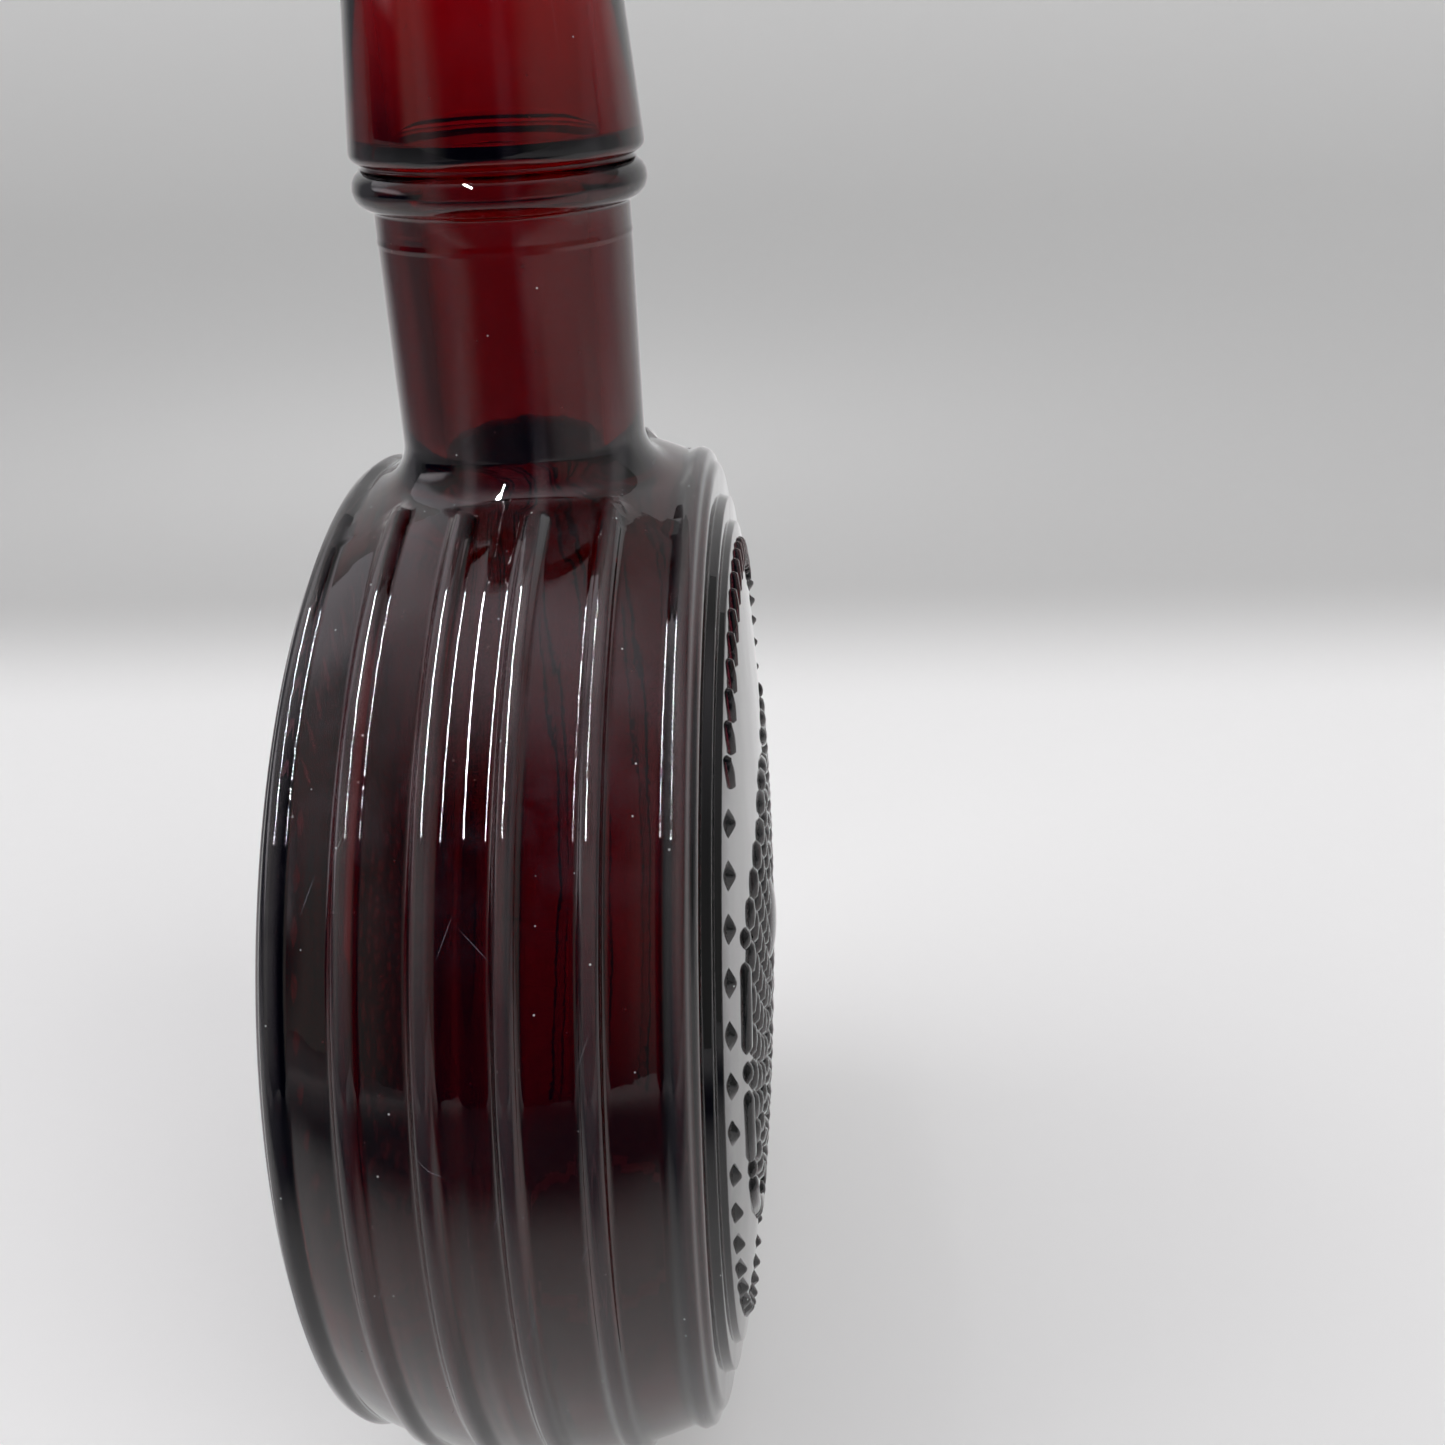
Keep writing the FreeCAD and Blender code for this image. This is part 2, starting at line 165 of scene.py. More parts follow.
    @property
    def dome_radius(self):
        return (self.step_2_radius**2 + self.dome_rise**2) / (2 * self.dome_rise)

    @property
    def rib_pitch(self):
        return 2 * (self.crown_edge - self.rib_edge) / (self.rib_count - 1)

    @property
    def neck_bore(self):
        return self.neck_radius - self.neck_wall

    @property
    def bead_low(self):
        return self.centre_height + self.rim_radius + self.neck_length

    @property
    def collar_low(self):
        return self.bead_low + self.bead_height + self.groove_height

    @property
    def mouth_height(self):
        return self.collar_low + self.collar_height


class ReliefSizes(bpy.types.PropertyGroup):
    """Raised pattern on both faces."""

    height: length("Height", "Studs above the domed field", 0.65)
    sink: length("Sink", "Studs below the domed field", 0.3)
    border_inset: length("Border inset", "Border in from the edge of the field", 3.7)
    border_places: count("Border places", "Lozenges that a full border would hold", 56)
    lozenges: count("Lozenges", "Lozenges of the border, around the lower part", 43)
    lozenge_length: length("Lozenge length", "Along the border", 4.9)
    lozenge_width: length("Lozenge width", "Across the border", 3.9)
    flutes: count("Flutes", "Slanted flutes of the border, over the top", 17)
    flute_step: angle("Flute step", "From flute to flute", 4.8)
    flute_length: length("Flute length", "Along a flute", 4.2)
    flute_width: length("Flute width", "Across a flute", 1.4)
    flute_slant: angle("Flute slant", "From the direction of the border", 62.0)
    bar_inset: length("Bar inset", "Ring of bars in from the border", 11.2)
    bars: count("Bars", "Bars of the ring, with a bead between each two", 15)
    bar_length: length("Bar length", "Along the ring", 10.2)
    bar_width: length("Bar width", "Across the ring, and width of a bead", 2.6)
    scale_rows: count("Scale rows", "Rings of scales inside the ring of bars", 7)
    scale_inset: length("Scale inset", "First ring of scales in from the ring of bars", 4.4)
    scale_step: length("Scale step", "From ring to ring of scales", 3.7)
    scale_length: length("Scale length", "Along a scale", 4.0)
    scale_width: length("Scale width", "Across a scale", 2.8)
    motif_top: length("Motif top", "Bars, beads and scales end at this height over the disc axis", 20.0)
    boss_radius: length("Boss radius", "Round boss in the middle", 5.6)
    boss_height: length("Boss height", "Boss above the field", 1.0)


class StopperSizes(bpy.types.PropertyGroup):
    """Sizes of the cork."""

    grip: length("Grip", "Depth in the mouth", 7.5)
    head: length("Head", "Height above the lip", 10.0)
    clearance: length("Clearance", "Radial gap in the mouth", 0.08)
    ease: length("Ease", "Rounded edges", 0.6)
    pit_depth: length("Pits", "Depth of the pores", 0.45)
    pit_size: length("Pit spacing", "Rough distance between pores", 3.2)


class Finishes(bpy.types.PropertyGroup):
    """Colours and finishes."""

    ruby_tint: colour("Ruby tint", "Colour of the glass surface at the neck", (0.90, 0.38, 0.41))
    ruby_body: colour("Ruby body", "Deeper colour of the glass surface at the body", (0.58, 0.16, 0.22))
    ruby_depth: colour("Ruby depth", "Colour that the thickness of the glass lets through", (0.82, 0.0, 0.3))
    ruby_density: number("Ruby density", "Absorption of the glass per metre", 1150.0)
    # This colour is also the painted sheen on the rib crests.
    dust_and_sheen: colour("Dust", "Specks on the glass", (0.72, 0.69, 0.66))
    # Besides a dust film, this purplish colour paints the tint of the reflected veil on the upper rim.
    haze_and_veil: colour("Haze", "Thin film of fine dust on the glass", (0.60, 0.54, 0.66))
    cork_light: colour("Cork", "Clean cork", (0.60, 0.37, 0.19))
    cork_dark: colour("Cork shade", "Darker grain of the cork", (0.36, 0.19, 0.085))
    cork_pore: colour("Cork pores", "Bottom of the pores", (0.075, 0.035, 0.018))
    floor_near: colour("Floor", "Floor under the bottle", (0.80, 0.80, 0.79))
    floor_far: colour("Backdrop", "Backdrop, and the far background", (0.86, 0.86, 0.845))
    overhead: colour("Overhead", "Bright soft dome over the bottle", (0.98, 0.94, 1.0))
    room: colour("Room", "Dim side of the studio, in front of the bottle", (0.012, 0.012, 0.04))


class OilBottleSettings(bpy.types.PropertyGroup):
    """All settings of the bottle."""

    glass: PointerProperty(type=GlassSizes)
    relief: PointerProperty(type=ReliefSizes)
    stopper: PointerProperty(type=StopperSizes)
    finish: PointerProperty(type=Finishes)


class Wire:
    """An output of a node. Arithmetic on wires adds Math nodes to their tree."""

    def __init__(self, net, socket):
        self.net = net
        self.socket = socket

    def __add__(self, other):
        return self.net.maths("ADD", self, other)

    def __sub__(self, other):
        return self.net.maths("SUBTRACT", self, other)

    def __rsub__(self, other):
        return self.net.maths("SUBTRACT", other, self)

    def __mul__(self, other):
        return self.net.maths("MULTIPLY", self, other)

    def __truediv__(self, other):
        return self.net.maths("DIVIDE", self, other)

    def __rtruediv__(self, other):
        return self.net.maths("DIVIDE", other, self)

    def __pow__(self, other):
        return self.net.maths("POWER", self, other)

    def __neg__(self):
        return self.net.maths("MULTIPLY", self, -1.0)

    def __gt__(self, other):
        return self.net.maths("GREATER_THAN", self, other)

    def __lt__(self, other):
        return self.net.maths("LESS_THAN", self, other)

    __radd__ = __add__
    __rmul__ = __mul__

    def output(self, name):
        """Another output of the same node."""
        return Wire(self.net, self.net.socket(self.socket.node.outputs, name))


NODES_IN_A_ROW = 24
NODE_WIDTH = 180
NODE_HEIGHT = 260


class Net:
    """A node tree under construction."""

    def __init__(self, tree):
        self.tree = tree

    @staticmethod
    def socket(sockets, key):
        """The socket in use that has this place, name or identifier."""
        if isinstance(key, int):
            return sockets[key]
        return next(s for s in sockets if s.enabled and key in (s.name, s.identifier))

    def node(self, kind, settings=None, sockets=None):
        """A node of this type with its settings and the values or wires of its sockets.

        Gives the node's first output, or the node itself if it has none.
        """
        made = self.tree.nodes.new(kind)
        row, column = divmod(len(self.tree.nodes), NODES_IN_A_ROW)
        made.location = (NODE_WIDTH * column, -NODE_HEIGHT * row)
        for key, value in (settings or {}).items():
            setattr(made, key, value)
        for key, value in (sockets or {}).items():
            socket = self.socket(made.inputs, key)
            for one in value if isinstance(value, list) else [value]:
                if isinstance(one, Wire):
                    self.tree.links.new(one.socket, socket)
                else:
                    socket.default_value = one
        shown = [s for s in made.outputs if s.enabled]
        return Wire(self, shown[0]) if shown else made

    def maths(self, operation, *values):
        """A Math node on values or wires."""
        return self.node("ShaderNodeMath", {"operation": operation}, dict(enumerate(values)))

    def vector(self, operation, first, *others):
        """A Vector Math node."""
        return self.node("ShaderNodeVectorMath", {"operation": operation}, dict(enumerate((first, *others))))

    def combined(self, x, y, z):
        """A vector from three values."""
        return self.node("ShaderNodeCombineXYZ", {}, {"X": x, "Y": y, "Z": z})

    def parts(self, vector):
        """The three values of a vector."""
        first = self.node("ShaderNodeSeparateXYZ", {}, {"Vector": vector})
        return first, first.output("Y"), first.output("Z")

    def fade(self, value, start, end, first=0.0, last=1.0):
        """A soft step from one value to another while the input goes from start to end."""
        sockets = {"Value": value, "From Min": start, "From Max": end, "To Min": first, "To Max": last}
        return self.node("ShaderNodeMapRange", {"interpolation_type": "SMOOTHSTEP"}, sockets)

    def blend(self, factor, first, last):
        """A mix of two colours."""
        ends = {"Factor": factor, "A": first, "B": last}
        ends = {key: (*value, 1.0) if isinstance(value, tuple) else value for key, value in ends.items()}
        return self.node("ShaderNodeMix", {"data_type": "RGBA"}, ends)

    def noise(self, where, scale, detail=2.0, roughness=0.5):
        """Noise between 0 and 1."""
        sockets = {"Vector": where, "Scale": scale, "Detail": detail, "Roughness": roughness}
        return self.node("ShaderNodeTexNoise", {}, sockets)

    def spots(self, where, scale):
        """Cells around scattered points. Gives the distance from the nearest point."""
        return self.node("ShaderNodeTexVoronoi", {}, {"Vector": where, "Scale": scale})


SOCKET_TYPES = {float: "NodeSocketFloat", int: "NodeSocketInt", bpy.types.Material: "NodeSocketMaterial"}


class ShapeNet(Net):
    """A Geometry Nodes tree with named inputs."""

    def __init__(self, name, inputs):
        super().__init__(bpy.data.node_groups.new(name, "GeometryNodeTree"))
        self.tree.is_modifier = True
        self.tree.interface.new_socket("Geometry", in_out="INPUT", socket_type="NodeSocketGeometry")
        self.tree.interface.new_socket("Geometry", in_out="OUTPUT", socket_type="NodeSocketGeometry")
        self.values = {}
        for title, value in inputs.items():
            self.values[title] = float(value) if isinstance(value, np.floating) else value
        for title, value in self.values.items():
            self.tree.interface.new_socket(title, in_out="INPUT", socket_type=SOCKET_TYPES[type(value)])
        self.start = self.tree.nodes.new("NodeGroupInput")
        self.body = self["Geometry"]

    def __getitem__(self, name):
        """The wire of a named input."""
        return Wire(self, self.start.outputs[name])

    def finish(self, geometry, material):
        """Close the tree: instances become mesh, and the mesh gets its material."""
        plain = self.node("GeometryNodeRealizeInstances", {}, {"Geometry": geometry})
        dressed = self.node("GeometryNodeSetMaterial", {}, {"Geometry": plain, "Material": material})
        self.node("NodeGroupOutput", {}, {"Geometry": dressed})

    def settle(self, piece):
        """Run the tree on a piece and keep the result as the piece's plain mesh."""
        modifier = piece.modifiers.new(self.tree.name, "NODES")
        modifier.node_group = self.tree
        names = {s.name: s.identifier for s in self.tree.interface.items_tree if s.in_out == "INPUT"}
        for title, value in self.values.items():
            modifier[names[title]] = value
        graph = bpy.context.evaluated_depsgraph_get()
        graph.update()
        mesh = bpy.data.meshes.new_from_object(piece.evaluated_get(graph), depsgraph=graph)
        piece.modifiers.remove(modifier)
        worn = piece.data
        piece.data = mesh
        mesh.name = piece.name
        bpy.data.meshes.remove(worn)
        if not mesh.polygons:
            raise RuntimeError(f"{self.tree.name} left {piece.name} empty")


class Skin:
    """Rings of points joined into one closed mesh."""

    def __init__(self):
        self.points = []
        self.faces = []
        self.rim = []

    def add(self, points, rim=0.0):
        """Add an array of points and give their indices in the same shape."""
        flat = points.reshape(-1, 3)
        start = len(self.points)
        self.points.extend(map(tuple, flat))
        self.rim.extend([rim] * len(flat))
        return np.arange(start, start + len(flat)).reshape(points.shape[:-1])

    def bridge(self, first, second):
        """Quads between two closed rings."""
        if len(second) * 2 == len(first):
            self.thin(first, second)
            return
        on, over = np.roll(first, -1), np.roll(second, -1)
        self.faces.extend(zip(first, on, over, second))

    def thin(self, first, second):
        """Triangles from a closed ring to one with every second point of it."""
        over = np.roll(second, -1)
        even, odd, after = first[0::2], first[1::2], np.roll(first, -2)[0::2]
        self.faces.extend(zip(even, odd, second))
        self.faces.extend(zip(odd, after, over))
        self.faces.extend(zip(odd, over, second))

    def grid(self, index, rows, columns):
        """Quads of a grid that is closed around, without the cells in these ranges of rows and columns."""
        for i in range(len(index) - 1):
            on, over = np.roll(index[i], -1), np.roll(index[i + 1], -1)
            cells = list(zip(index[i], on, over, index[i + 1]))
            if rows[0] <= i < rows[1]:
                cells = cells[: columns[0]] + cells[columns[1] :]
            self.faces.extend(cells)

    def cap(self, ring, pole):
        """Close a ring by triangles to one point."""
        tip = self.add(np.array([pole]))[0]
        self.faces.extend((a, b, tip) for a, b in zip(ring, np.roll(ring, -1)))

    def mesh(self, name):
        """The finished mesh, with its faces turned outward."""
        made = bpy.data.meshes.new(name)
        points = [tuple(map(float, point)) for point in self.points]
        faces = [tuple(map(int, face)) for face in self.faces]
        made.from_pydata(points, [], faces)
        rim = made.attributes.new("rim", "FLOAT", "POINT")
        rim.data.foreach_set("value", self.rim)
        shell = bmesh.new()
        shell.from_mesh(made)
        bmesh.ops.delete(shell, geom=[v for v in shell.verts if not v.link_faces], context="VERTS")
        bmesh.ops.recalc_face_normals(shell, faces=shell.faces)
        if any(not edge.is_manifold for edge in shell.edges):
            raise RuntimeError(f"{name} is not closed")
        shell.to_mesh(made)
        shell.free()
        made.shade_smooth()
        return made


def new_piece(name, mesh):
    """An object at the origin with this mesh."""
    piece = bpy.data.objects.new(name, mesh)
    bpy.context.scene.collection.objects.link(piece)
    return piece


def eased(corners, steps=5):
    """Points through the corners (u, v, round), with an arc of that round at each inner corner."""
    points = [np.array(corners[0][:2])]
    for before, here, after in zip(corners, corners[1:], corners[2:]):
        corner = np.array(here[:2])
        back = np.array(before[:2]) - corner
        on = np.array(after[:2]) - corner
        back, on = back / np.linalg.norm(back), on / np.linalg.norm(on)
        half = np.arccos(np.clip(back @ on, -1.0, 1.0)) / 2
        reach = here[2] / np.tan(half)
        for t in np.linspace(0.0, 1.0, steps):
            weight = 2 * t * (1 - t) * np.sin(half)
            ends = (1 - t) ** 2 * (corner + back * reach) + t**2 * (corner + on * reach)
            points.append((ends + weight * corner) / ((1 - t) ** 2 + t**2 + weight))
    points.append(np.array(corners[-1][:2]))
    return np.array(points)


def soft_least(a, b, ease):
    """The smaller of two values, with a soft passage between them."""
    h = np.clip(0.5 + (b - a) / (2 * ease), 0.0, 1.0)
    return b + (a - b) * h - ease * h * (1 - h)


# Columns around half of the disc, from the base to the top: last angle of a run in degrees, columns in it
COLUMN_RUNS = ((18, 9), (36, 23), (160, 62), (180, 33))
TOP_COLUMN = sum(columns for _, columns in COLUMN_RUNS)
# Rows from midway between two ribs to a rib, in halves of a pitch
RIB_ROWS = (0.12, 0.53, 0.60, 0.67, 0.74, 0.81, 0.88, 1.0)
PATCH_ROWS = 38           # rows from the middle to the edge of the patch that opens for the neck
PATCH_COLUMNS = 27        # and columns
PATCH_RINGS = 6           # rings from the edge of the patch to the neck flare
FLARE_RINGS = 8
CORNER_POINTS = 7         # points of the round between the rim and a face
DOME_RINGS = 11
INNER_CORNER_POINTS = 8
INNER_RINGS = 10
LEAST_DOWN = 0.05         # columns that point down less than this never reach the base
LEAST_ROW = 0.1 * MM      # rows closer than this to the edge of the rim are left out
LEAST_SLOPE_STEP = 0.01 * MM
DISH_SKIN = 0.2 * MM      # points up to this height belong to the flat of the base


def column_angles():
    """Angles around the disc, from the base over one side, closer together at the neck and the heels."""
    runs = []
    start = 0
    for end, columns in COLUMN_RUNS:
        runs.append(np.linspace(start, end, columns, endpoint=False))
        start = end
    half = np.append(np.concatenate(runs), start)
    return np.radians(np.concatenate([half, 360 - half[-2:0:-1]]) - 90)


def crown_rows(size):
    """Places across the rim, each rib on a row of its own."""
    toward = np.array(RIB_ROWS)
    away = 1 - np.append(toward[-2::-1], 0.0)
    ways = [k + (away if k % 2 else toward) for k in range(size.rib_count)]
    half = np.concatenate([[0.0], *ways]) * size.rib_pitch / 2
    half = np.append(half[half < size.crown_edge - LEAST_ROW], size.crown_edge)
    return np.concatenate([-half[:0:-1], half])


def stepped_side(size):
    """Profile of one face (x, radius) from the rim over the dome, and how many points its corner has."""
    lean = np.arctan2(size.tread_top - size.crown_centre, size.corner_x)
    turn = np.linspace(lean, 0.0, CORNER_POINTS)[1:, None]
    corner = np.array([size.corner_x, size.tread_top])
    corner = corner + size.corner_radius * np.concatenate([np.cos(turn), np.sin(turn)], axis=1)
    tread = size.half_width + size.step_1_rise
    rings = size.step_2_radius * (1 - np.arange(1, DOME_RINGS) / DOME_RINGS)
    dome = np.stack([dome_x(size, rings), rings], axis=1)
    stair = eased(
        [
            tuple(corner[-1]),
            (size.half_width, size.step_1_radius + size.step_slant, size.step_ease),
            (tread, size.step_1_radius, size.step_ease),
            (tread, size.step_2_radius + size.step_slant, size.step_ease),
            (size.field_edge, size.step_2_radius, size.step_ease),
            tuple(dome[0]),
        ]
    )
    return np.concatenate([corner, stair[1:-1], dome]), len(corner)


def dome_x(size, radius):
    """Distance of the domed field from the middle of the disc."""
    return size.dome_apex - size.dome_radius + np.sqrt(size.dome_radius**2 - radius**2)


def circles_meet(first, first_radius, second, second_radius):
    """The meeting point, furthest along x, of two circles."""
    gap = second - first
    far = np.linalg.norm(gap)
    along = (far**2 + first_radius**2 - second_radius**2) / (2 * far)
    across = np.sqrt(first_radius**2 - along**2)
    middle = first + gap / far * along
    side = np.array([-gap[1], gap[0]]) / far * across
    return max(middle + side, middle - side, key=lambda p: p[0])


def chamber_profile(size):
    """Inner profile (x, radius): every second crown row, the corner and the bowed face, and its apex."""
    crown = size.crown_radius - size.wall
    edge_x = size.half_width - size.face_wall
    edge = size.crown_centre + np.sqrt(crown**2 - edge_x**2)
    apex = size.dome_apex - size.wall
    bow = apex - edge_x
    bow_radius = (edge**2 + bow**2) / (2 * bow)
    crown_middle, bow_middle = np.array([0.0, size.crown_centre]), np.array([apex - bow_radius, 0.0])
    centre = circles_meet(crown_middle, crown - size.inner_corner, bow_middle, bow_radius - size.inner_corner)
    first, last = [np.arctan2(*(centre - middle)[::-1]) for middle in (crown_middle, bow_middle)]
    turn = np.linspace(first, last, INNER_CORNER_POINTS)[:, None]
    corner = centre + size.inner_corner * np.concatenate([np.cos(turn), np.sin(turn)], axis=1)
    rings = corner[-1][1] * (1 - np.arange(1, INNER_RINGS) / INNER_RINGS)
    face = np.stack([bow_middle[0] + np.sqrt(bow_radius**2 - rings**2), rings], axis=1)
    across = crown_rows(size)[::2] * corner[0][0] / size.crown_edge
    middle = np.stack([across, size.crown_centre + np.sqrt(crown**2 - across**2)], axis=1)
    return middle, np.concatenate([corner[1:], face]), apex


def around_disc(profile, angles, level, ease):
    """Points of a profile turned about the disc axis and let down on a flat at this depth below the axis."""
    x = np.repeat(profile[:, 0][:, None], len(angles), axis=1)
    radius = np.repeat(profile[:, 1][:, None], len(angles), axis=1)
    down = np.maximum(-np.sin(angles), 1e-6)[None, :]
    radius = np.where(down > LEAST_DOWN, soft_least(radius, level / down, ease), radius)
    return np.stack([x, radius * np.cos(angles), radius * np.sin(angles)], axis=-1)


def perimeter(rows, columns):
    """Grid places around a rectangle, in order."""
    r0, r1 = rows
    c0, c1 = columns
    way = [(r, c0) for r in range(r0, r1)] + [(r1, c) for c in range(c0, c1)]
    return way + [(r, c1) for r in range(r1, r0, -1)] + [(r0, c) for c in range(c1, c0, -1)]


def neck_opening(skin, ring, surface, radius, flare, rim):
    """Rings from the edge of the patch to a circle around the neck axis, then up the flare to the neck."""
    edge = np.array([skin.points[i] for i in ring])
    turn = np.arctan2(edge[:, 1], edge[:, 0])
    circle = (radius + flare) * np.stack([np.cos(turn), np.sin(turn)], axis=1)
    for t in np.linspace(0, 1, PATCH_RINGS + 1)[1:]:
        flat = edge[:, :2] * (1 - t) + circle * t
        following = skin.add(np.column_stack([flat, surface(flat[:, 0], flat[:, 1])]), rim)
        skin.bridge(ring, following)
        ring = following
    foot = surface(circle[:, 0], circle[:, 1])
    inward = circle * (1 - LEAST_SLOPE_STEP / (radius + flare))
    slope = (surface(inward[:, 0], inward[:, 1]) - foot) / LEAST_SLOPE_STEP
    lean = np.arctan(slope)
    corner = foot + flare * slope
    top = corner + flare / np.cos(lean)
    weight = np.cos((pi / 2 - lean) / 2)
    for t in np.linspace(0, 1, FLARE_RINGS + 1)[1:]:
        middle = 2 * t * (1 - t) * weight
        share = (1 - t) ** 2 + middle + t**2
        out = radius + (1 - t) ** 2 * flare / share
        height = ((1 - t) ** 2 * foot + middle * corner + t**2 * top) / share
        following = skin.add(np.column_stack([out * np.cos(turn), out * np.sin(turn), height]))
        skin.bridge(ring, following)
        ring = following
    return ring, turn


def neck_profile(size):
    """Neck, mould line, bead ring, groove, collar, lip, seat, ledge and bore, as (radius, height)."""
    neck, low = size.neck_radius, size.bead_low
    high, collar = low + size.bead_height, size.collar_low
    out = neck + size.bead_out
    lip = out - size.collar_taper
    ledge = collar + size.ledge_over_collar
    bore = size.neck_bore
    line = low - size.mould_line_drop
    line_half, line_ease = 0.45 * MM, 0.3 * MM
    bead_ease, bead_round = 0.45 * MM, 0.46 * size.bead_height
    groove_ease, foot_ease, mouth_ease, bore_ease = 0.2 * MM, 1.0 * MM, 0.5 * MM, 0.8 * MM
    taper_share, taper_ease = 0.3, 20 * MM
    corners = [
        (neck, line - 6 * MM, 0),
        (neck, line - line_half, line_ease),
        (neck + size.mould_line_out, line, line_ease),
        (neck, line + line_half, line_ease),
        (neck, low, bead_ease),
        (out, low, bead_round),
        (out, high, bead_round),
        (neck + size.groove_out, high, groove_ease),
        (neck + size.groove_out, collar, groove_ease),
        (out, collar, foot_ease),
        (out - taper_share * size.collar_taper, collar + taper_share * size.collar_height, taper_ease),
        (lip, size.mouth_height, size.lip_ease),
        (size.mouth_radius, size.mouth_height, mouth_ease),
        (size.mouth_radius - size.seat_taper, ledge, mouth_ease),
        (bore, ledge - size.ledge_drop, bore_ease),
        (bore, low - 4 * MM, 0),
    ]
    return eased(corners)


def bottle_mesh(size):
    """One closed skin: disc without ribs, neck and finish outside, then mouth, bore and chamber inside."""
    skin = Skin()
    angles = column_angles()
    lift = np.array([0.0, 0.0, size.centre_height])
    across = crown_rows(size)
    side, corner_rows = stepped_side(size)
    crown = np.stack([across, size.crown_at(across)], axis=1)
    profile = np.concatenate([side[::-1] * (-1, 1), crown, side])
    points = around_disc(profile, angles, size.centre_height, size.base_ease) + lift
    reach = np.hypot(points[..., 0], points[..., 1]) / size.dish_radius
    dished = (points[..., 2] < DISH_SKIN) & (reach < 1)
    points[..., 2] += np.where(dished, size.dish_depth * (1 - reach**2) ** 2, 0.0)
    outer = skin.add(points)
    first = len(side) - corner_rows
    for i in outer[first : first + len(crown) + 2 * corner_rows].ravel():
        skin.rim[i] = 1.0
    middle = len(side) + len(crown) // 2
    rows = (middle - PATCH_ROWS, middle + PATCH_ROWS)
    columns = (TOP_COLUMN - PATCH_COLUMNS, TOP_COLUMN + PATCH_COLUMNS)
    skin.grid(outer, rows, columns)
    skin.cap(outer[0], lift - (size.dome_apex, 0, 0))
    skin.cap(outer[-1], lift + (size.dome_apex, 0, 0))

    def outer_top(x, y):
        return size.centre_height + np.sqrt(size.crown_at(x) ** 2 - y**2)

    ring = np.array([outer[place] for place in perimeter(rows, columns)])
    ring, turn = neck_opening(skin, ring, outer_top, size.neck_radius, size.neck_flare, 1.0)

    inner_angles = angles[::2]
    inner_crown, inner_side, apex = chamber_profile(size)
    inner_profile = np.concatenate([inner_side[::-1] * (-1, 1), inner_crown, inner_side])
    level = size.centre_height - size.base_wall
    inner = skin.add(around_disc(inner_profile, inner_angles, level, size.inner_ease) + lift)
    middle = len(inner_side) + len(inner_crown) // 2
    rows = (middle - PATCH_ROWS // 2, middle + PATCH_ROWS // 2)
    columns = tuple(c // 2 for c in columns)
    skin.grid(inner, rows, columns)
    skin.cap(inner[0], lift - (apex, 0, 0))
    skin.cap(inner[-1], lift + (apex, 0, 0))

    def inner_top(x, y):
        crown_radius = size.crown_radius - size.wall
        reach = size.crown_centre + np.sqrt(crown_radius**2 - x**2)
        return size.centre_height + np.sqrt(reach**2 - y**2)

    inner_ring = np.array([inner[place] for place in perimeter(rows, columns)])
    opening = (inner_top, size.neck_bore, size.neck_flare, 0.0)
    inner_ring, inner_turn = neck_opening(skin, inner_ring, *opening)

    finish = neck_profile(size)
    last_turn = turn[::2] + np.angle(np.exp(1j * (inner_turn - turn[::2])))
    span = len(finish) + 1
    for k, (radius, height) in enumerate(finish, 1):
        way = turn[::2] * (1 - k / span) + last_turn * (k / span)
        points = np.column_stack([radius * np.cos(way), radius * np.sin(way), np.full(len(way), height)])
        following = skin.add(points)
        skin.bridge(ring, following)
        ring = following
    skin.bridge(ring, inner_ring)
    return skin.mesh("bottle_skin")


SEAM_CREST = 0.05 * MM    # half width of the mould seam on top
SEAM_FOOT = 0.5 * MM      # and on the glass
SEAM_START = 0.4          # the seam sets in at this share of the height of the ribs' lower ends


def rib_shape(size, material):
    """Ribs and mould seam, raised from the rim by a rule: distance from the nearest rib line or its end."""
    net = ShapeNet(
        "Rim ribs",
        {
            "Pitch": size.rib_pitch,
            "Height": size.rib_height,
            "Foot": size.rib_foot / 2,
            "Crest": size.rib_crest / 2,
            "Stop": size.rib_stop,
            "Keep off": size.neck_radius + size.neck_flare + size.rib_clear,
            "Centre": size.centre_height,
            "Seam": size.seam_height,
            "Material": material,
        },
    )
    x, y, z = net.parts(net.node("GeometryNodeInputPosition"))
    beside = net.maths("ABSOLUTE", net.maths("FRACT", x / net["Pitch"]) - 0.5) * net["Pitch"]
    off_axis = net.maths("SQRT", x * x + y * y)
    past_head = (net["Keep off"] - off_axis) * (z > net["Centre"])
    past_end = net.maths("MAXIMUM", net.maths("MAXIMUM", past_head, net["Stop"] - z), 0.0)
    away = net.maths("SQRT", beside * beside + past_end * past_end)
    rib = net.fade(away, net["Crest"], net["Foot"], net["Height"], 0.0)
    seam = net.fade(net.maths("ABSOLUTE", x), SEAM_CREST, SEAM_FOOT, net["Seam"], 0.0)
    seam = seam * net.fade(z, net["Stop"] * SEAM_START, net["Stop"])
    rim = net.node("GeometryNodeInputNamedAttribute", {"data_type": "FLOAT"}, {"Name": "rim"})
    normal = net.node("GeometryNodeInputNormal")
    rise = net.node(
        "ShaderNodeVectorMath",
        {"operation": "SCALE"},
        {0: normal, "Scale": net.maths("MAXIMUM", rib, seam) * rim},
    )
    raised = net.node("GeometryNodeSetPosition", {}, {"Geometry": net.body, "Offset": rise})
    net.finish(raised, net["Material"])
    return net


MIDDLE = 0.01 * MM        # points of a bar up to this far from its middle stay there
LOZENGE_FLAT = 0.12       # width of a lozenge on top, as a share of its foot
LOZENGE_OVER = 1.15       # height before its ridges are softened
RIDGE_CREASE = 0.7
TIP_CREASE = 0.3
SCALE_PITCH = 1.14        # from scale to scale along a row, in lengths of a scale
LEAST_SCALES = 5
CREASE_ANGLE = radians(38)


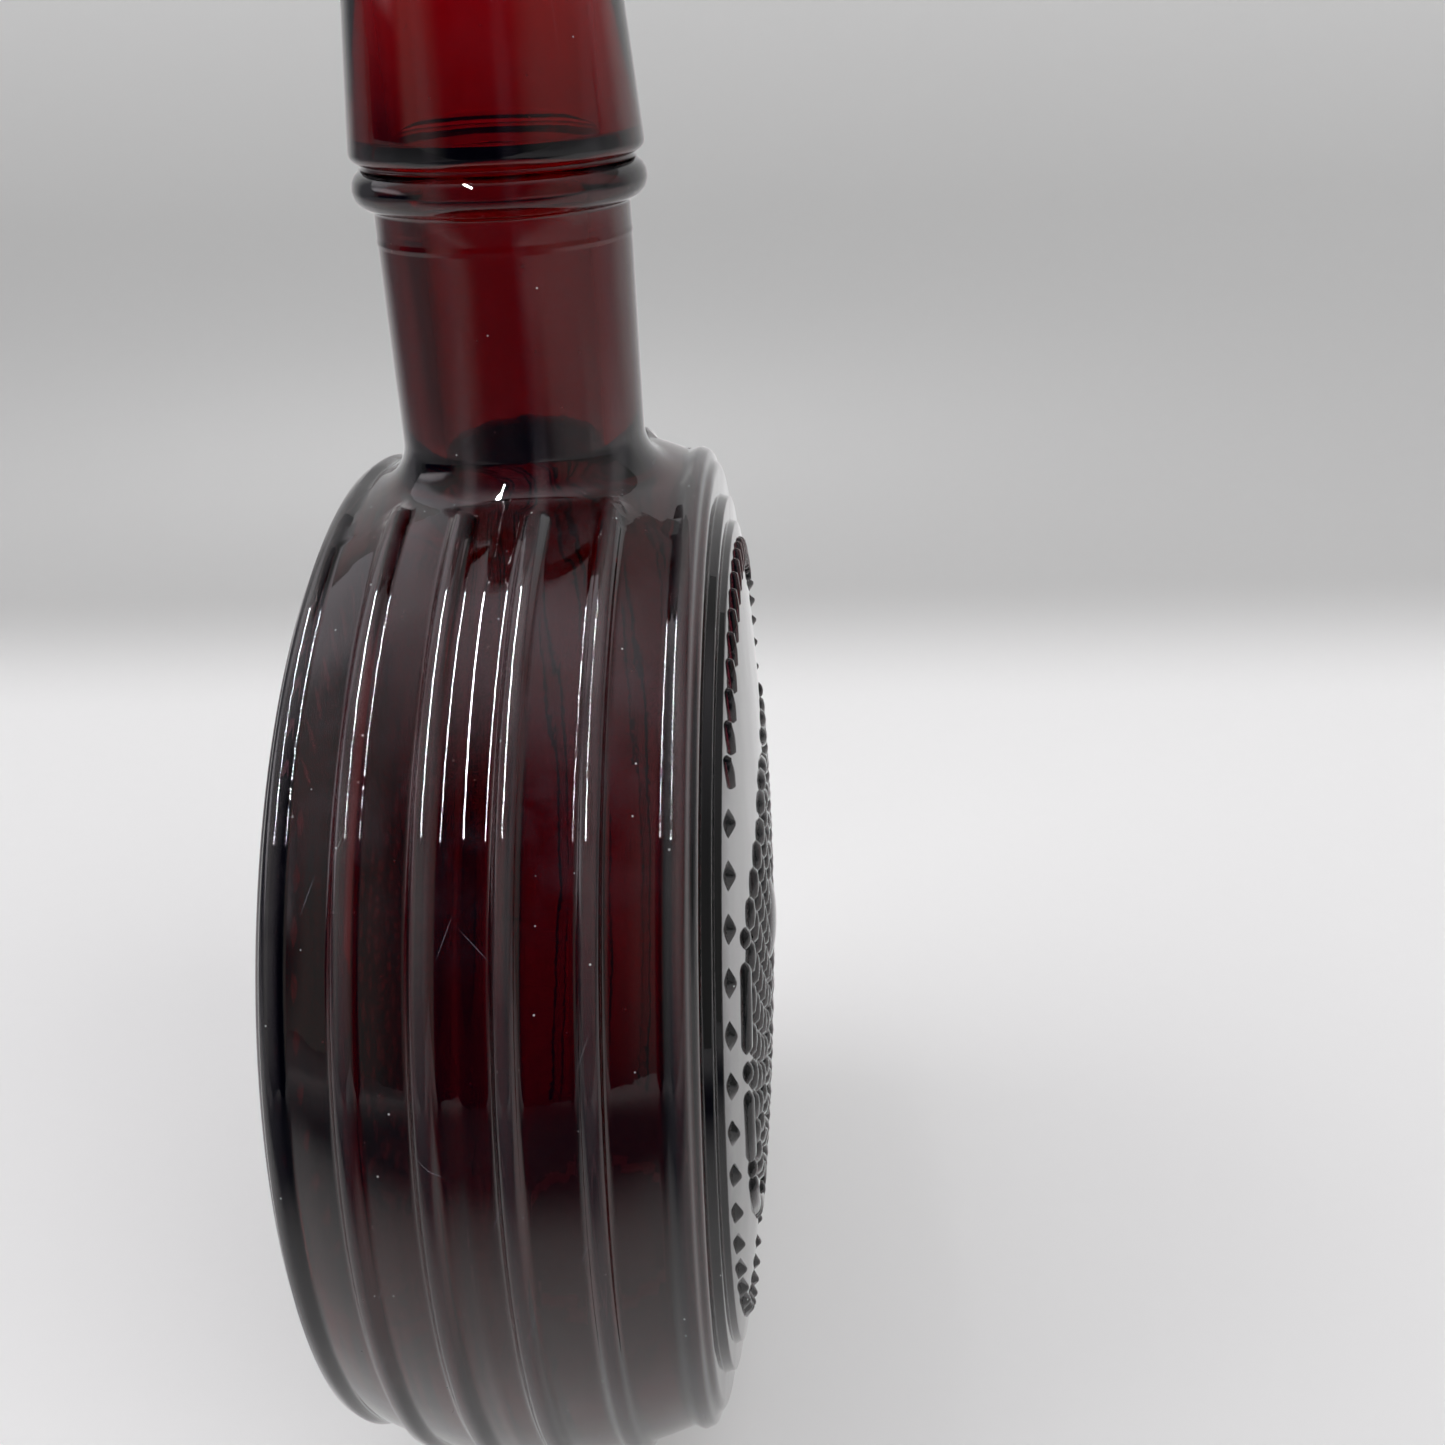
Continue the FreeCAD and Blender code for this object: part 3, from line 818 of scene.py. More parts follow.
def soft_bar(net, length, width, height, sink, segments=16):
    """A rounded bar along x, or a bead if it is as long as wide, sunk into the glass."""
    sockets = {"Segments": segments, "Rings": segments // 2, "Radius": 1.0}
    ball = net.node("GeometryNodeMeshUVSphere", {}, sockets)
    size = net.combined(width * 0.5, width * 0.5, height + sink)
    place = net.combined(0.0, 0.0, -sink)
    sized = net.node("GeometryNodeTransform", {}, {"Geometry": ball, "Scale": size, "Translation": place})
    x, _, _ = net.parts(net.node("GeometryNodeInputPosition"))
    ends = net.maths("SIGN", x * (net.maths("ABSOLUTE", x) > MIDDLE)) * ((length - width) * 0.5)
    drawn = {"Geometry": sized, "Offset": net.combined(ends, 0.0, 0.0)}
    return net.node("GeometryNodeSetPosition", {}, drawn)


def soft_lozenge(net, length, width, height, sink):
    """A pointed lozenge along x with softened ridges."""
    sockets = {"Vertices": 4, "Side Segments": 2, "Fill Segments": 1, "Depth": 1.0}
    sockets.update({"Radius Top": LOZENGE_FLAT, "Radius Bottom": 1.0})
    cone = net.node("GeometryNodeMeshCone", {}, sockets)
    size = net.combined(length * 0.5, width * 0.5, (height + sink) * LOZENGE_OVER)
    place = net.combined(0.0, 0.0, -sink)
    sized = net.node("GeometryNodeTransform", {}, {"Geometry": cone, "Scale": size, "Translation": place})
    sockets = {"Mesh": sized, "Level": 1, "Edge Crease": RIDGE_CREASE, "Vertex Crease": TIP_CREASE}
    return net.node("GeometryNodeSubdivisionSurface", {}, sockets)


def ring_of(net, stud, amount, radius, start, step, top):
    """Studs around the domed field below a height, each upright on it, from an angle on in equal steps."""
    index = net.node("GeometryNodeInputIndex")
    turn = index * step + start
    along, up = net.maths("COSINE", turn), net.maths("SINE", turn)
    depth = net.maths("SQRT", net["Dome radius"] ** 2.0 - radius**2.0)
    place = net.combined(depth + net["Dome centre"], along * radius, up * radius + net["Centre"])
    points = net.node("GeometryNodePoints", {}, {"Count": amount, "Position": place})
    upright = net.combined(depth, along * radius, up * radius)
    outward = net.combined(0.0, along, up)
    facing = net.node(
        "FunctionNodeAxesToRotation",
        {"primary_axis": "Z", "secondary_axis": "Y"},
        {"Primary Axis": upright, "Secondary Axis": outward},
    )
    placed = {"Points": points, "Selection": up * radius < top, "Instance": stud, "Rotation": facing}
    return net.node("GeometryNodeInstanceOnPoints", {}, placed)


def relief_shape(size, relief, material):
    """Raised pattern on both faces, made one with the glass."""
    border = size.step_2_radius - relief.border_inset
    bars = border - relief.bar_inset
    inputs = {
        "Dome radius": size.dome_radius,
        "Dome centre": size.dome_apex - size.dome_radius,
        "Centre": size.centre_height,
        "Height": relief.height,
        "Sink": relief.sink,
        "Border radius": border,
        "Lozenges": relief.lozenges,
        "Lozenge step": 2 * pi / relief.border_places,
        "Lozenge length": relief.lozenge_length,
        "Lozenge width": relief.lozenge_width,
        "Flutes": relief.flutes,
        "Flute step": relief.flute_step,
        "Flute length": relief.flute_length,
        "Flute width": relief.flute_width,
        "Flute slant": relief.flute_slant,
        "Bar radius": bars,
        "Bars": relief.bars,
        "Bar length": relief.bar_length,
        "Bar width": relief.bar_width,
        "Scale length": relief.scale_length,
        "Scale width": relief.scale_width,
        "Motif top": relief.motif_top,
        "Rim": size.rim_radius,
        "Boss radius": relief.boss_radius,
        "Boss height": relief.boss_height,
    }
    rows = []
    for k in range(relief.scale_rows):
        radius = bars - relief.scale_inset - k * relief.scale_step
        amount = max(LEAST_SCALES, int(2 * pi * radius / (SCALE_PITCH * relief.scale_length)))
        inputs[f"Scale row {k + 1} radius"] = radius
        inputs[f"Scale row {k + 1} count"] = amount
        rows.append(k + 1)
    inputs["Material"] = material
    net = ShapeNet("Face relief", inputs)
    height, sink = net["Height"], net["Sink"]
    lozenge = soft_lozenge(net, net["Lozenge length"], net["Lozenge width"], height, sink)
    flute = soft_bar(net, net["Flute length"], net["Flute width"], height, sink, 12)
    slant = net.combined(0.0, 0.0, net["Flute slant"])
    flute = net.node("GeometryNodeTransform", {}, {"Geometry": flute, "Rotation": slant})
    bar = soft_bar(net, net["Bar length"], net["Bar width"], height, sink)
    bead = soft_bar(net, net["Bar width"], net["Bar width"], height, sink, 12)
    scale = soft_bar(net, net["Scale length"], net["Scale width"], height, sink, 10)
    boss = soft_bar(net, net["Boss radius"] * 2.0, net["Boss radius"] * 2.0, net["Boss height"], sink, 32)
    border, rim, top = net["Border radius"], net["Rim"], net["Motif top"]
    to_top, to_foot = 0.5 * pi, 1.5 * pi
    amount, step = net["Lozenges"], net["Lozenge step"]
    rings = [ring_of(net, lozenge, amount, border, to_foot - (amount - 1.0) * 0.5 * step, step, rim)]
    amount, step = net["Flutes"], net["Flute step"]
    rings.append(ring_of(net, flute, amount, border, to_top - (amount - 1.0) * 0.5 * step, step, rim))
    amount, step = net["Bars"], 2 * pi / net["Bars"]
    rings.append(ring_of(net, bar, amount, net["Bar radius"], to_top, step, top))
    rings.append(ring_of(net, bead, amount, net["Bar radius"], step * 0.5 + to_top, step, top))
    for k in rows:
        amount = net[f"Scale row {k} count"]
        step = 2 * pi / amount
        start = step * (0.5 * (k % 2)) + to_top
        rings.append(ring_of(net, scale, amount, net[f"Scale row {k} radius"], start, step, top))
    rings.append(ring_of(net, boss, 1, net["Boss radius"] * 0.0, 0.0, 0.0, top))
    joined = net.node("GeometryNodeJoinGeometry", {}, {"Geometry": rings})
    studs = net.node("GeometryNodeRealizeInstances", {}, {"Geometry": joined})
    other = net.node("GeometryNodeTransform", {}, {"Geometry": studs, "Scale": (-1.0, 1.0, 1.0)})
    other = net.node("GeometryNodeFlipFaces", {}, {"Mesh": other})
    both = net.node("GeometryNodeJoinGeometry", {}, {"Geometry": [studs, other]})
    union = {"operation": "UNION", "solver": "MANIFOLD"}
    whole = net.node("GeometryNodeMeshBoolean", union, {"Mesh 2": [net.body, both]})
    soft_edges = net.node("GeometryNodeInputMeshEdgeAngle") < CREASE_ANGLE
    for domain, soft in (("FACE", True), ("EDGE", soft_edges)):
        sockets = {"Geometry": whole, "Shade Smooth": soft}
        whole = net.node("GeometryNodeSetShadeSmooth", {"domain": domain}, sockets)
    net.finish(whole, net["Material"])
    return net


def new_material(name):
    """A material without nodes, and the net of its tree."""
    material = bpy.data.materials.new(name)
    material.use_nodes = True
    material.node_tree.nodes.clear()
    return material, Net(material.node_tree)


GLASS_IOR = 1.52
# Patterns on the glass: repeats per metre, octaves, roughness
SLOW_WAVES = (70.0, 1.5, 0.4)
SKIN_GRAIN = (1500.0, 1.0)
SMUDGES = (55.0, 6.0, 0.65)
SMEARS = (900.0, 2.0)
TINT_CLOUDS = (30.0, 3.0)
HAZE_VEIL_CLOUDS = (120.0, 7.0, 0.7)
RUB_SHEEN_CLOUDS = (45.0, 4.0, 0.6)
# Heights over the base between which a finish changes, metres
WEAR_AND_SHEEN_END = (0.115, 0.13)      # wear of the rim, with its painted crest sheen and veil, thins out up to the neck
TINT_RISE = (0.097, 0.158)    # the body's colour turns into the neck's
HAZE_VEIL_RISE = (0.086, 0.104)    # the haze, partly a painted reflection veil, sets in
RUB_SHEEN_RISE = (0.068, 0.1)       # the painted sheen on the rib crests, partly rubbed wear, is stronger above than below
# Wear of the rim, with its painted crest sheen and veil, sets in between these depths below the rim's crown
WEAR_AND_SHEEN_DEPTH = (6 * MM, 5 * MM)
LEAST_WEAR_AND_SHEEN = 0.2              # share of the wear and painted sheen that is left at the neck
# Values of a pattern between which its marks set in
SMUDGE_EDGES = (0.5, 0.78)
HAZE_VEIL_EDGES = (0.4, 0.7)
RUB_SHEEN_EDGES = (0.35, 0.65)
RUB_SHEEN_WIDTHS = (1 / 4, 1 / 2.6)    # half width of a crest with painted sheen and rubbing: share of the rib's crest, and of its foot
LOW_RUB_SHEEN = 0.4                 # painted crest sheen and rubbing low down
THIN_RUB_SHEEN = 0.6                # painted crest sheen and rubbing between the patches of the pattern
SMUDGE_ROUGHNESS = 0.05
SMEAR_ROUGHNESS = 0.02
DUST_ROUGHNESS = 0.9
TINT_CLOUD_SHARE = 0.1
WAVE_STRENGTH = 0.35
WAVE_HEIGHT = 0.5 * MM
GRAIN_SHARE = 0.02            # height of the grain, as a share of the waves
# Specks and scratches: cells per metre, distances over which a mark fades, odds that a cell stays clean
SPECKS = (600.0, (0.03, 0.085), 0.82)
FINE_SPECKS = (1500.0, (0.04, 0.12), 0.93)
SCRATCHES = (420.0, (0.008, 0.026), 0.5)
SCRATCH_STRETCH = 40.0        # length of a scratch over its width
SCRATCH_SLANTS = (0.35, -0.75)
# How much of the glass each kind of wear, the painted crest sheen and the painted veil cover
SPECK_COVER = 0.8
FILM_COVER = 0.25
SCRATCH_COVER = 0.16
HAZE_VEIL_COVER = 0.026
RUB_SHEEN_COVER = 0.07
MOST_COVER = 0.85


def marks(net, cells, reach, odds):
    """Soft marks at the middles of cells, of which a share stays clean."""
    lottery = net.parts(net.vector("FRACTION", cells.output("Color")))[0]
    return net.fade(cells, *reach, 1.0, 0.0) * (lottery > odds)


def hair_scratches(net, where, slant):
    """Short hairline scratches over an unrolled surface, all at about one slant."""
    per_metre, reach, odds = SCRATCHES
    sockets = {"Vector": where, "Rotation": (0.0, 0.0, slant), "Scale": (1.0, SCRATCH_STRETCH, 1.0)}
    drawn = net.node("ShaderNodeMapping", {"vector_type": "TEXTURE"}, sockets)
    sockets = {"Vector": drawn, "Scale": per_metre}
    hairs = net.node("ShaderNodeTexVoronoi", {"voronoi_dimensions": "2D"}, sockets)
    return marks(net, hairs, reach, odds)


def glass_wear_and_sheen(net, where, on_rim, smudge, finish, glass):
    """Dust, film, scratches, a haze that partly paints a reflected veil, and rib crests that are partly
    rubbed and partly a painted sheen: how much of the glass they cover, and their shader.
    """
    x, y, z = net.parts(where)
    specks, fine = [
        marks(net, net.spots(where, per_metre), reach, odds)
        for per_metre, reach, odds in (SPECKS, FINE_SPECKS)
    ]
    around = net.maths("ARCTAN2", z - glass.centre_height, y) * glass.rim_radius
    unrolled = net.combined(x, around, 0.0)
    one_way, other_way = [hair_scratches(net, unrolled, slant) for slant in SCRATCH_SLANTS]
    # Haze: a dust film whose purplish colour, on the upper rim, paints the reflected veil and its mottle.
    haze_and_veil = net.fade(net.noise(where, *HAZE_VEIL_CLOUDS), *HAZE_VEIL_EDGES) * net.fade(z, *HAZE_VEIL_RISE)
    # Rib crests are painted paler: a painted sheen standing in for their highlight, partly rubbed wear,
    # stronger higher up.
    beside = net.maths("ABSOLUTE", net.maths("FRACT", x / glass.rib_pitch) - 0.5) * glass.rib_pitch
    top, foot = glass.rib_crest * RUB_SHEEN_WIDTHS[0], glass.rib_foot * RUB_SHEEN_WIDTHS[1]
    rubbed_sheen = net.fade(beside, top, foot, 1.0, 0.0) * net.fade(z, *RUB_SHEEN_RISE, LOW_RUB_SHEEN, 1.0) * on_rim
    rubbed_sheen = rubbed_sheen * net.fade(net.noise(where, *RUB_SHEEN_CLOUDS), *RUB_SHEEN_EDGES, THIN_RUB_SHEEN, 1.0)
    loose = specks * SPECK_COVER + fine * smudge * FILM_COVER
    scratch_and_veil_film = ((one_way + other_way) * SCRATCH_COVER + haze_and_veil * HAZE_VEIL_COVER) * on_rim
    cover = net.maths("MINIMUM", loose + scratch_and_veil_film + rubbed_sheen * RUB_SHEEN_COVER, MOST_COVER)
    # Specks and the painted crest sheen take the pale dust colour.
    pale = net.maths("MAXIMUM", specks, rubbed_sheen)
    shade = net.blend(pale, tuple(finish.haze_and_veil), tuple(finish.dust_and_sheen))
    return cover, net.node("ShaderNodeBsdfPrincipled", {}, {"Base Color": shade, "Roughness": DUST_ROUGHNESS})


def ruby_glass(finish, glass):
    """Clear ruby glass: colour from its depth, a slightly wavy skin, smudges and wear, with a painted sheen
    on the rib crests and a painted reflection veil in its haze.
    """
    material, net = new_material("ruby_glass")
    where = net.node("ShaderNodeTexCoord").output("Object")
    _, y, z = net.parts(where)
    above = z - glass.centre_height
    off_axis = net.maths("SQRT", y * y + above * above)
    on_rim = net.fade(off_axis, *(glass.rim_radius - depth for depth in WEAR_AND_SHEEN_DEPTH))
    on_rim = on_rim * net.fade(z, *WEAR_AND_SHEEN_END, 1.0, LEAST_WEAR_AND_SHEEN)
    waves = net.noise(where, *SLOW_WAVES) + net.noise(where, *SKIN_GRAIN) * GRAIN_SHARE * on_rim
    sockets = {"Strength": WAVE_STRENGTH, "Distance": WAVE_HEIGHT, "Height": waves}
    wavy = net.node("ShaderNodeBump", {}, sockets)
    smudge = net.fade(net.noise(where, *SMUDGES), *SMUDGE_EDGES)
    roughness = smudge * SMUDGE_ROUGHNESS + net.noise(where, *SMEARS) * SMEAR_ROUGHNESS
    high = net.fade(z, *TINT_RISE) - net.noise(where, *TINT_CLOUDS) * TINT_CLOUD_SHARE
    tint = net.blend(high, tuple(finish.ruby_body), tuple(finish.ruby_tint))
    sockets = {"Base Color": tint, "Roughness": roughness, "Normal": wavy}
    sockets.update({"IOR": GLASS_IOR, "Transmission Weight": 1.0})
    clear = net.node("ShaderNodeBsdfPrincipled", {}, sockets)
    cover, dust_and_sheen = glass_wear_and_sheen(net, where, on_rim, smudge, finish, glass)
    surface = net.node("ShaderNodeMixShader", {}, {0: cover, 1: clear, 2: dust_and_sheen})
    sockets = {"Color": (*finish.ruby_depth, 1.0), "Density": finish.ruby_density}
    depth = net.node("ShaderNodeVolumeAbsorption", {}, sockets)
    net.node("ShaderNodeOutputMaterial", {}, {"Surface": surface, "Volume": depth})
    return material


# Patterns of the cork: repeats per metre, octaves, roughness
CORK_MOTTLE = (260.0, 5.0, 0.6)
CORK_GRAIN = (2400.0, 3.0, 0.6)
CORK_PORES = (620.0, 4.0, 0.7)
CORK_FLATTEN = 2.2            # the mottle lies in flat layers across the cork's axis
MOTTLE_EDGES = (0.35, 0.68)
PORE_EDGES = (0.63, 0.71)
PIT_EDGES = (0.1, 0.7)
MOTTLE_SHARE = 0.7            # against the fine grain, in the cork's colour
PORE_COVER = 0.8
GRAIN_STRENGTH = 0.5
GRAIN_HEIGHT = 0.25 * MM
CORK_ROUGHNESS = 0.78
PORE_ROUGHNESS = 0.15         # added in the pores
CORK_SHINE = 0.25


def natural_cork(finish):
    """Cork: mottled bark with fine grain and dark pores."""
    material, net = new_material("natural_cork")
    where = net.node("ShaderNodeTexCoord").output("Object")
    along = net.node("ShaderNodeMapping", {}, {"Vector": where, "Scale": (1.0, 1.0, CORK_FLATTEN)})
    mottle = net.fade(net.noise(along, *CORK_MOTTLE), *MOTTLE_EDGES)
    grain = net.noise(where, *CORK_GRAIN)
    pattern = mottle * MOTTLE_SHARE + grain * (1 - MOTTLE_SHARE)
    base = net.blend(pattern, tuple(finish.cork_light), tuple(finish.cork_dark))
    pores = net.fade(net.noise(along, *CORK_PORES), *PORE_EDGES)
    pit = net.node("ShaderNodeAttribute", {"attribute_name": "pit"}).output("Fac")
    dark = net.maths("MINIMUM", pores * PORE_COVER + net.fade(pit, *PIT_EDGES), 1.0)
    shade = net.blend(dark, base, tuple(finish.cork_pore))
    sockets = {"Strength": GRAIN_STRENGTH, "Distance": GRAIN_HEIGHT, "Height": grain * 0.5 - pores}
    rough = net.node("ShaderNodeBump", {}, sockets)
    sockets = {"Base Color": shade, "Roughness": CORK_ROUGHNESS + dark * PORE_ROUGHNESS, "Normal": rough}
    sockets["Specular IOR Level"] = CORK_SHINE
    surface = net.node("ShaderNodeBsdfPrincipled", {}, sockets)
    net.node("ShaderNodeOutputMaterial", {}, {"Surface": surface})
    return material


CORK_COLUMNS = 150
CORK_STEP = 0.3 * MM          # from ring to ring of the cork's skin
CORK_LEAST_STEP = 0.02 * MM
CORK_POLE = 0.6 * MM          # radius of the smallest rings


def cork_mesh(size, cork):
    """The tapered cork as one closed skin of fine rings."""
    slope = size.seat_taper / (size.collar_height - size.ledge_over_collar)
    low, high = size.mouth_height - cork.grip, size.mouth_height + cork.head
    top = size.mouth_radius - cork.clearance
    foot, head = top - slope * cork.grip, top + slope * cork.head
    ends = (CORK_POLE, low, 0), (CORK_POLE, high, 0)
    outline = eased([ends[0], (foot, low, cork.ease), (head, high, cork.ease), ends[1]])
    runs = np.hypot(*np.diff(outline, axis=0).T)
    way = np.concatenate([[0.0], np.cumsum(runs)])
    stops = np.unique(np.concatenate([way, np.arange(0, way[-1], CORK_STEP)]))
    stops = stops[np.append(True, np.diff(stops) > CORK_LEAST_STEP)]
    radius, height = np.interp(stops, way, outline[:, 0]), np.interp(stops, way, outline[:, 1])
    turn = np.linspace(0, 2 * pi, CORK_COLUMNS, endpoint=False)
    skin = Skin()
    ring = None
    for r, z in zip(radius, height):
        following = skin.add(np.column_stack([r * np.cos(turn), r * np.sin(turn), np.full(len(turn), z)]))
        if ring is None:
            skin.cap(following, (0.0, 0.0, low))
        else:
            skin.bridge(ring, following)
        ring = following
    skin.cap(ring, (0.0, 0.0, high))
    return skin.mesh("cork_skin")


PIT_FLATTEN = 1.9             # pores are flatter than round, across the cork's axis
PIT_WANDER = 1.6 * MM         # how far their outlines wander
WANDER_SCALE = 500.0
PIT_GRAIN = 900.0
PIT_ODDS = 0.35               # share of the places for a pore that stay whole
PIT_REACH = (0.04, 0.28)      # least radius of a pore, and what chance adds to it, in spacings
PIT_FLOOR = 0.35              # flat floor of a pore, as a share of its radius
PIT_GRAIN_SHARE = 0.22        # depth of the grain between pores


def pore_shape(cork, material):
    """Pores of the cork, pressed into its skin."""
    net = ShapeNet("Cork pores", {"Depth": cork.pit_depth, "Spacing": cork.pit_size, "Material": material})
    place = net.node("GeometryNodeInputPosition")
    along = net.vector("MULTIPLY", place, (1.0, 1.0, PIT_FLATTEN))
    wander = net.noise(place, WANDER_SCALE, 3.0)
    bent = net.vector("ADD", along, net.vector("MULTIPLY", wander.output("Color"), (PIT_WANDER,) * 3))
    cells = net.spots(bent, 1.0 / net["Spacing"])
    lottery = net.parts(cells.output("Color"))[0]
    reach = lottery * PIT_REACH[1] + PIT_REACH[0]
    pit = net.fade(cells, reach * PIT_FLOOR, reach, 1.0, 0.0) * (lottery > PIT_ODDS)
    grain = net.noise(place, PIT_GRAIN, 3.0) * PIT_GRAIN_SHARE
    depth = net.maths("MINIMUM", pit + grain, 1.0) * net["Depth"]
    normal = net.node("GeometryNodeInputNormal")
    press = net.node("ShaderNodeVectorMath", {"operation": "SCALE"}, {0: normal, "Scale": -depth})
    marked = net.node(
        "GeometryNodeStoreNamedAttribute",
        {"data_type": "FLOAT", "domain": "POINT"},
        {"Geometry": net.body, "Name": "pit", "Value": pit},
    )
    pressed = net.node("GeometryNodeSetPosition", {}, {"Geometry": marked, "Offset": press})
    net.finish(pressed, net["Material"])
    return net


class OILBOTTLE_OT_glass(bpy.types.Operator):
    """Make the moulded glass bottle with its ribs and relief"""

    bl_idname = "oil_bottle.glass"
    bl_label = "Bottle glass"

    def execute(self, context):
        settings = context.scene.oil_bottle
        material = ruby_glass(settings.finish, settings.glass)
        piece = new_piece("moulded_bottle", bottle_mesh(settings.glass))
        rib_shape(settings.glass, material).settle(piece)
        relief_shape(settings.glass, settings.relief, material).settle(piece)
        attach(piece, "bottle")
        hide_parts("bottle_glass")
        return {"FINISHED"}


class OILBOTTLE_OT_stopper(bpy.types.Operator):
    """Make the cork stopper with its pores"""

    bl_idname = "oil_bottle.stopper"
    bl_label = "Cork stopper"

    def execute(self, context):
        settings = context.scene.oil_bottle
        material = natural_cork(settings.finish)
        piece = new_piece("tapered_cork", cork_mesh(settings.glass, settings.stopper))
        pore_shape(settings.stopper, material).settle(piece)
        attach(piece, "stopper")
        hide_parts("cork_stopper")
        return {"FINISHED"}


# Places on the floor, in metres, between which its looks change
BACKDROP_START = (0.18, 0.27)     # depth and height together, from tabletop to backdrop
BACKDROP_RISE = (0.02, 0.35)      # heights over which the backdrop gets lighter
FRONT_SHADE = (-0.25, -0.09)      # depths of the shade in front of the bottle
FRONT_SIDES = (0.2, 0.5)          # to either side of which that shade is weaker
LEFT_SHADE = (-0.6, -0.25)
RIGHT_SHADE = (0.35, 0.8)
FLECKS = (300.0, 4.0)
FLECK_SHARE = 0.06
FLECK_SHADE = 0.8
BACKDROP_LOW = 0.55               # lightness of the backdrop low down
FRONT_SIDE_SHADE = 0.5            # strength of the shades, where the front is 1
LEFT_SIDE_SHADE = 0.75
RIGHT_SIDE_SHADE = 0.5
FLOOR_ROUGHNESS = 0.55
FLECK_ROUGHNESS = 0.1             # added in the flecks
FLOOR_GLOW = 0.2


def scaled(shade, share):
    """A colour times a number."""
    return tuple(c * share for c in shade)


def floor_material(finish):
    """A pale matt tabletop and backdrop. In reflections it is dim in front and to the sides, as in shade."""
    material, net = new_material("pale_tabletop")
    where = net.node("ShaderNodeTexCoord").output("Object")
    x, y, z = net.parts(where)
    ray = net.node("ShaderNodeLightPath")
    near, wall = tuple(finish.floor_near), tuple(finish.floor_far)
    far = net.blend(net.fade(z, *BACKDROP_RISE), scaled(wall, BACKDROP_LOW), wall)
    backdrop = net.fade(y + z, *BACKDROP_START)
    glossy = ray.output("Is Glossy Ray")
    shade = net.blend(backdrop * (1.0 - glossy), near, far)
    fleck = net.noise(where, *FLECKS)
    shade = net.blend(fleck * FLECK_SHARE, shade, scaled(near, FLECK_SHADE))
    front = net.fade(y, *FRONT_SHADE, 1.0, 0.0)
    front = front * net.fade(net.maths("ABSOLUTE", x), *FRONT_SIDES, 1.0, FRONT_SIDE_SHADE)
    left = net.fade(x, *LEFT_SHADE, LEFT_SIDE_SHADE, 0.0)
    right = net.fade(x, *RIGHT_SHADE, 0.0, RIGHT_SIDE_SHADE)
    dim = net.maths("MAXIMUM", front, net.maths("MAXIMUM", left, right)) * glossy
    shade = net.blend(dim, shade, tuple(finish.room))
    direct = net.maths("MAXIMUM", ray.output("Is Camera Ray"), glossy)
    seen = net.maths("MAXIMUM", direct, ray.output("Is Transmission Ray") * backdrop)
    glow = net.blend(seen, (0.0, 0.0, 0.0), shade)
    sockets = {"Base Color": shade, "Roughness": FLOOR_ROUGHNESS + fleck * FLECK_ROUGHNESS}
    sockets.update({"Emission Color": glow, "Emission Strength": FLOOR_GLOW})
    surface = net.node("ShaderNodeBsdfPrincipled", {}, sockets)
    net.node("ShaderNodeOutputMaterial", {}, {"Surface": surface})
    return material


# Zones of the studio around the bottle: parts of a direction (x, y, z) between which each zone fades
BESIDE = (0.4, 0.75)              # either side
FAR_LEFT = (-0.92, -0.84)         # the left side ends in the side window
BEHIND = (0.0, 0.7)               # rear and upper half
OVERHEAD_FRONT = (-0.58, 0.1)
OVERHEAD_BACK = (0.1, 0.5)
OVERHEAD_RISE = (0.05, 0.4)
OVERHEAD_SIDES = (0.3, 0.75)
BEHIND_LEAN = 0.4                 # how much of the height counts towards the rear
OVERHEAD_REST = 0.12              # what is left of the dome behind the bottle
OVERHEAD_SIDE_REST = 0.25         # and to either side
BACK_WINDOW = {"y": (0.08, 0.3), "x": (-0.5, -0.22), "z": (0.25, 0.5)}
SIDE_WINDOW = {"x": (-0.95, -0.87), "z": (0.17, 0.27)}
# Lightness of the zones over the colour of the backdrop or of the overhead dome
GREY_SHARE = 0.35
BACK_WINDOW_SHARE = 1.2
SIDE_WINDOW_SHARE = 2.0
BACKGROUND_SHARE = 0.7            # what the camera sees past the backdrop, and what the glass lets through


